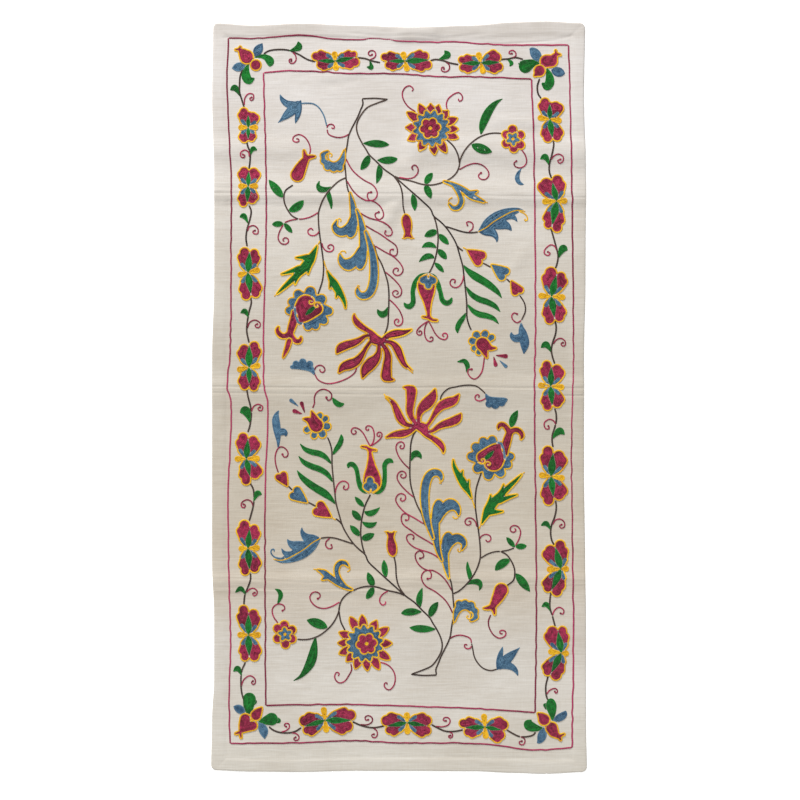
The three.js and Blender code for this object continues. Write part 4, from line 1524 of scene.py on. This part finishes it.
class Look:
    """A material put together from nodes. An input takes a plain value or another node's output."""

    def __init__(self, name):
        self.material = bpy.data.materials.new(name)
        self.material.use_nodes = True
        self.tree = self.material.node_tree

    def connect(self, node, inputs):
        for name, value in inputs.items():
            if isinstance(value, bpy.types.NodeSocket):
                self.tree.links.new(value, node.inputs[name])
            else:
                node.inputs[name].default_value = value

    def node(self, kind, output, inputs, **settings):
        """Adds a node and gives back one of its outputs."""
        made = self.tree.nodes.new("ShaderNode" + kind)
        for name, value in settings.items():
            setattr(made, name, value)
        self.connect(made, inputs)
        return made.outputs[output]

    def surface(self, **inputs):
        named = {name.replace("_", " "): value for name, value in inputs.items()}
        self.connect(self.tree.nodes["Principled BSDF"], named)

    def place(self):
        return self.node("TexCoord", "Object", {})

    def ramp(self, value, low, high, to_low, to_high):
        ends = {"From Min": low, "From Max": high, "To Min": to_low, "To Max": to_high}
        return self.node("MapRange", "Result", {"Value": value, **ends})

    def spread(self, noise, half):
        """A noise as a number that swings round 0."""
        return self.ramp(noise, *NOISE_ENDS, -half, half)

    def add(self, a, b):
        return self.node("Math", "Value", {0: a, 1: b}, operation="ADD")

    def mix(self, share, a, b, **settings):
        return self.node("Mix", "Result", {"Factor": share, "A": a, "B": b}, data_type="RGBA", **settings)

    def bump(self, height, strength, distance, **more):
        inputs = {"Height": height, "Strength": strength, "Distance": distance, **more}
        return self.node("Bump", "Normal", inputs)


# Where most of a noise lies, and the silk's noise scales, tones and bump, as strength and metres. The silk's
# speckle noise is painted sheen.
NOISE_ENDS = (0.3, 0.7)
SILK_SHEEN_SPECKLES = 260
SILK_SHEEN_TONE = 1.9
SILK_TONES = 2.4
STRAND_SCALE = 1.6
STRAND_WOBBLE = 0.6
STRAND_BUMP = (0.35, 0.0002)


def silk_material(colour, light, deep):
    """Silk thread in one colour, with deeper and lighter stitches, a soft gloss and its fine strands. The
    lighter and deeper stitches are partly uneven silk and partly painted sheen and painted shade.
    """
    look = Look(colour + "_silk")
    stitch = look.node("Attribute", "Fac", {}, attribute_name="tone")
    # Speckles of painted sheen, lighter and deeper, over the stitches.
    noise = look.node("TexNoise", "Fac", {"Vector": look.place(), "Scale": SILK_SHEEN_SPECKLES, "Detail": 3})
    tone = look.add(stitch, look.spread(noise, SILK_SHEEN_TONE))
    share = look.ramp(tone, -SILK_TONES, SILK_TONES, 0, 1)
    thread = look.node("UVMap", "UV", {}, uv_map="thread")
    strands = look.node(
        "TexWave", "Fac", {"Vector": thread, "Scale": STRAND_SCALE, "Distortion": STRAND_WOBBLE},
        wave_type="BANDS", bands_direction="DIAGONAL",
    )
    look.surface(
        Base_Color=look.mix(share, linear(*deep), linear(*light)),
        Normal=look.bump(strands, *STRAND_BUMP),
        Roughness=0.5,
        Specular_IOR_Level=0.3,
        Sheen_Weight=0.06,
        Sheen_Roughness=0.4,
    )
    return look.material


# Each silk's light and deep colour, between which its stitches are mixed: partly uneven silk, partly painted
# sheen and painted shade.
SILK_COLOURS = {
    "crimson": ((192, 53, 94), (111, 20, 46)),
    "rose": ((180, 62, 100), (130, 34, 64)),
    "green": ((21, 138, 47), (5, 84, 22)),
    "blue": ((101, 141, 168), (48, 86, 117)),
    "yellow": ((253, 202, 32), (222, 162, 12)),
    "brown": ((86, 68, 58), (44, 32, 28)),
}
SILKS = {colour: silk_material(colour, *shades) for colour, shades in SILK_COLOURS.items()}

# The ground cloth's two colours, and its tint down its length, partly age and partly painted light and shade,
# with painted shade darkening the top hem: y, and the tint there.
GROUND_DEEP = (214, 201.5, 184.5)
GROUND_LIGHT = (244.5, 237, 226)
AGE_AND_SHADE_TINTS = [
    (-470, (0.905, 0.935, 0.95)),
    (-390, (0.935, 0.965, 1.0)),
    (-330, (0.89, 0.915, 0.945)),
    (-250, (0.835, 0.82, 0.785)),
    (-150, (0.775, 0.762, 0.72)),
    (60, (0.75, 0.747, 0.725)),
    (230, (0.84, 0.85, 0.865)),
    (395, (0.855, 0.87, 0.925)),
    (474, (0.855, 0.87, 0.925)),
    (482, (0.77, 0.775, 0.81)),
]
# The scales of its noises across and along the cloth, and their detail.
SLUBS = (28, 520, 3)
RIBS = (700, 60, 2)
AGE_AND_SHADE_PATCHES = (9, 14, 3)
CRUMPLES = (48, 85, 3)
# How much each changes the shade between the two colours, and the bumps, as strength and metres.
SLUB_SHADE = 0.19
RIB_SHADE = 0.07
PATCH_SHADES = (0.3, 0.7)
# Paler towards the top: partly the cloth's own colour and partly painted light from above.
PALER_UPWARDS = (-0.2, 0.45, -0.1, 0.22)
WEAVE_BUMP = (0.5, 0.0003)
CRUMPLE_BUMP = (0.6, 0.0007)


def aged_and_shaded_colour(look, place, woven_and_shade):
    """The woven cloth's colour: patchy, paler towards the top, and tinted along its length, all partly age
    and partly painted light and shade.
    """
    y = look.node("SeparateXYZ", "Y", {"Vector": place})
    share = look.add(woven_and_shade, look.ramp(y, *PALER_UPWARDS))
    ground = look.mix(share, linear(*GROUND_DEEP), linear(*GROUND_LIGHT))
    half = LENGTH * MM / 2
    tint = look.node("ValToRGB", "Color", {"Fac": look.ramp(y, -half, half, 0, 1)})
    stops = tint.node.color_ramp.elements
    for _ in AGE_AND_SHADE_TINTS[2:]:
        stops.new(0.5)
    for stop, (at, colour) in zip(stops, AGE_AND_SHADE_TINTS):
        stop.position = at / LENGTH + 0.5
        stop.color = (*colour, 1)
    return look.mix(1, ground, tint, blend_type="MULTIPLY")


def ground_material():
    """Unbleached silk and cotton: slubs along the weft, fine warp ribs, and faint patches that are partly age
    and partly painted shade.
    """
    look = Look("slubby_ground_cloth")
    place = look.place()

    def noise(across, along, detail):
        vector = look.node("Mapping", "Vector", {"Vector": place, "Scale": (across, along, 1)})
        return look.node("TexNoise", "Fac", {"Vector": vector, "Scale": 1, "Detail": detail})

    slubs, ribs = noise(*SLUBS), noise(*RIBS)
    woven_and_shade = look.add(look.spread(slubs, SLUB_SHADE), look.spread(ribs, RIB_SHADE))
    woven_and_shade = look.add(woven_and_shade, look.ramp(noise(*AGE_AND_SHADE_PATCHES), *NOISE_ENDS, *PATCH_SHADES))
    weave = look.bump(look.add(slubs, ribs), *WEAVE_BUMP)
    look.surface(
        Base_Color=aged_and_shaded_colour(look, place, woven_and_shade),
        Normal=look.bump(noise(*CRUMPLES), *CRUMPLE_BUMP, Normal=weave),
        Roughness=0.8,
        Sheen_Weight=0.1,
    )
    return look.material


# How much larger than the cloth the flat UV map is, and how far the sheet's edge is rounded off.
PLAN_ROOM = 20
EDGE_ROUND = 0.35
WEAVE_UV = 10


def finish_mesh(name, points, faces, maps, tones):
    """One mesh from faces of several sizes, with its two UV maps and its tone."""
    joined = {size: np.vstack(rows) for size, rows in faces.items() if rows}
    corners = np.concatenate([rows.ravel() for rows in joined.values()])
    sizes = np.concatenate([np.full(len(rows), size) for size, rows in joined.items()])
    mesh = bpy.data.meshes.new(name)
    mesh.vertices.add(len(points))
    mesh.vertices.foreach_set("co", (points * MM).ravel())
    mesh.loops.add(len(corners))
    mesh.loops.foreach_set("vertex_index", corners.astype(np.int32))
    mesh.polygons.add(len(sizes))
    mesh.polygons.foreach_set("loop_start", (np.cumsum(sizes) - sizes).astype(np.int32))
    mesh.update(calc_edges=True)
    flat = mesh.uv_layers.new(name="OFBake")
    plan = points[:, :2] / (LENGTH + PLAN_ROOM) + 0.5
    flat.data.foreach_set("uv", plan[corners].ravel())
    along = mesh.uv_layers.new(name="thread")
    along.data.foreach_set("uv", np.concatenate([np.vstack(maps[size]) for size in joined]).ravel())
    tone = mesh.attributes.new("tone", "FLOAT", "POINT")
    tone.data.foreach_set("value", tones)
    mesh.polygons.foreach_set("use_smooth", np.ones(len(sizes), bool))
    mesh.update()
    piece = bpy.data.objects.new(name, mesh)
    bpy.context.collection.objects.link(piece)
    return piece


# The spacing of the sheet's grid: along and across the cloth, over the hem, and where it is creased.
GRID_Y = 4.0
GRID_X = 6.2
HEM_GRID_Y = 1.6
HEM_GRID_X = 2.6
FOLD_GRID = 1.0
LEAST_GAP = 0.7
CREASED = [(466, 486), (255, 281), (-1, 22), (-259, -237), (-484, -476)]


def grid_lines(half, spacing, hem_spacing, close=()):
    """Even lines, closer together over the hem and where the cloth is creased."""
    lines = list(np.linspace(-half, half, round(2 * half / spacing) + 1))
    edge = list(np.arange(half - HEM_WIDTH - HEM_STEP, half + 0.1, hem_spacing))
    lines += edge + [-line for line in edge]
    for low, high in close:
        lines += list(np.arange(low, high, FOLD_GRID))
    lines = np.unique(np.round(np.clip(lines, -half, half), 3))
    keep = np.concatenate([[True], np.diff(lines) > LEAST_GAP])
    keep[-1] = True
    return lines[keep]


def ground_cloth():
    """The hemmed cloth as one thin closed sheet on the solid's folds."""
    xs = grid_lines(WIDTH / 2, GRID_X, HEM_GRID_X)
    ys = grid_lines(LENGTH / 2, GRID_Y, HEM_GRID_Y, CREASED)
    plan_x, plan_y = np.meshgrid(xs, ys)
    x, y = on_cloth(plan_x, plan_y)
    bottom = lift(x, y)
    top = bottom + thickness(plan_x, plan_y) - sunk(x, y)
    rim = np.zeros(x.shape, bool)
    rim[[0, -1], :] = rim[:, [0, -1]] = True
    heights = (top - EDGE_ROUND * rim, bottom + EDGE_ROUND * rim)
    points = np.vstack([np.column_stack([x.ravel(), y.ravel(), z.ravel()]) for z in heights])
    index = np.arange(x.size).reshape(x.shape)
    quads = np.stack([index[:-1, :-1], index[:-1, 1:], index[1:, 1:], index[1:, :-1]], axis=-1).reshape(-1, 4)
    under = quads[:, ::-1] + x.size
    edge = np.concatenate([index[0, :-1], index[:-1, -1], index[-1, :0:-1], index[:0:-1, 0]])
    after = np.roll(edge, -1)
    wall = np.column_stack([edge, edge + x.size, after + x.size, after])
    faces = np.vstack([quads, under, wall])
    uv = points[faces.ravel(), :2] / WEAVE_UV
    piece = finish_mesh("ground_cloth", points, {4: [faces]}, {4: [uv]}, np.zeros(len(points)))
    piece.data.materials.append(ground_material())
    return piece


def silk_pieces(areas):
    """One piece for each colour of silk in each area."""
    pieces = []
    for area in areas:
        for colour, silk in area.silks.items():
            name = f"{area.name}_{colour}_silk"
            points, tones = np.vstack(silk.points), np.concatenate(silk.tones)
            piece = finish_mesh(name, points, silk.faces, silk.maps, tones)
            piece.data.materials.append(SILKS[colour])
            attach(piece, "root")
            pieces.append(piece)
    return pieces


# The studio: a pale floor with a little light of its own, two square lights and a white world.
FLOOR_SIZE = 12
FLOOR_COLOUR = (0.93, 0.93, 0.93, 1)
FLOOR_ROUGHNESS = 0.9
FLOOR_GLOW = 0.45
KEY_LIGHT = {"place": (-1.6, 4.0, 1.9), "size": 1.6, "watts": 250}
FILL_LIGHT = {"place": (0.6, -1.4, 3.2), "size": 2.5, "watts": 45}
WORLD_LIGHT = 0.25
WHITE = (1, 1, 1, 1)


def add_floor():
    bpy.ops.mesh.primitive_plane_add(size=FLOOR_SIZE, location=(0, 0, 0))
    floor = bpy.context.object
    floor.name = "pale_floor"
    look = Look("pale_floor")
    look.surface(
        Base_Color=FLOOR_COLOUR,
        Roughness=FLOOR_ROUGHNESS,
        Emission_Color=WHITE,
        Emission_Strength=FLOOR_GLOW,
    )
    floor.data.materials.append(look.material)


def add_area_light(name, place, size, watts):
    data = bpy.data.lights.new(name, "AREA")
    data.shape = "SQUARE"
    data.size = size
    data.energy = watts
    light = bpy.data.objects.new(name, data)
    light.location = place
    light.rotation_euler = (-Vector(place)).to_track_quat("-Z", "Y").to_euler()
    bpy.context.collection.objects.link(light)


def add_lights():
    add_area_light("key", **KEY_LIGHT)
    add_area_light("fill", **FILL_LIGHT)
    world = bpy.data.worlds.new("studio")
    world.use_nodes = True
    world.node_tree.nodes["Background"].inputs["Color"].default_value = WHITE
    world.node_tree.nodes["Background"].inputs["Strength"].default_value = WORLD_LIGHT
    bpy.context.scene.world = world
    bpy.context.scene.view_settings.view_transform = "Standard"


def sewn(name, draw, upper=False):
    """One area of the embroidery, with its motifs drawn."""
    design = Design(name, upper)
    draw(design)
    return design


designs = [
    sewn("border", border),
    sewn("frame", frame_lines),
    sewn("lower_tree", tree),
    sewn("upper_tree", tree, upper=True),
]
cloth = ground_cloth()
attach(cloth, "root")
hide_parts("embroidered_cloth")
embroidery = silk_pieces(designs)
add_floor()
add_lights()
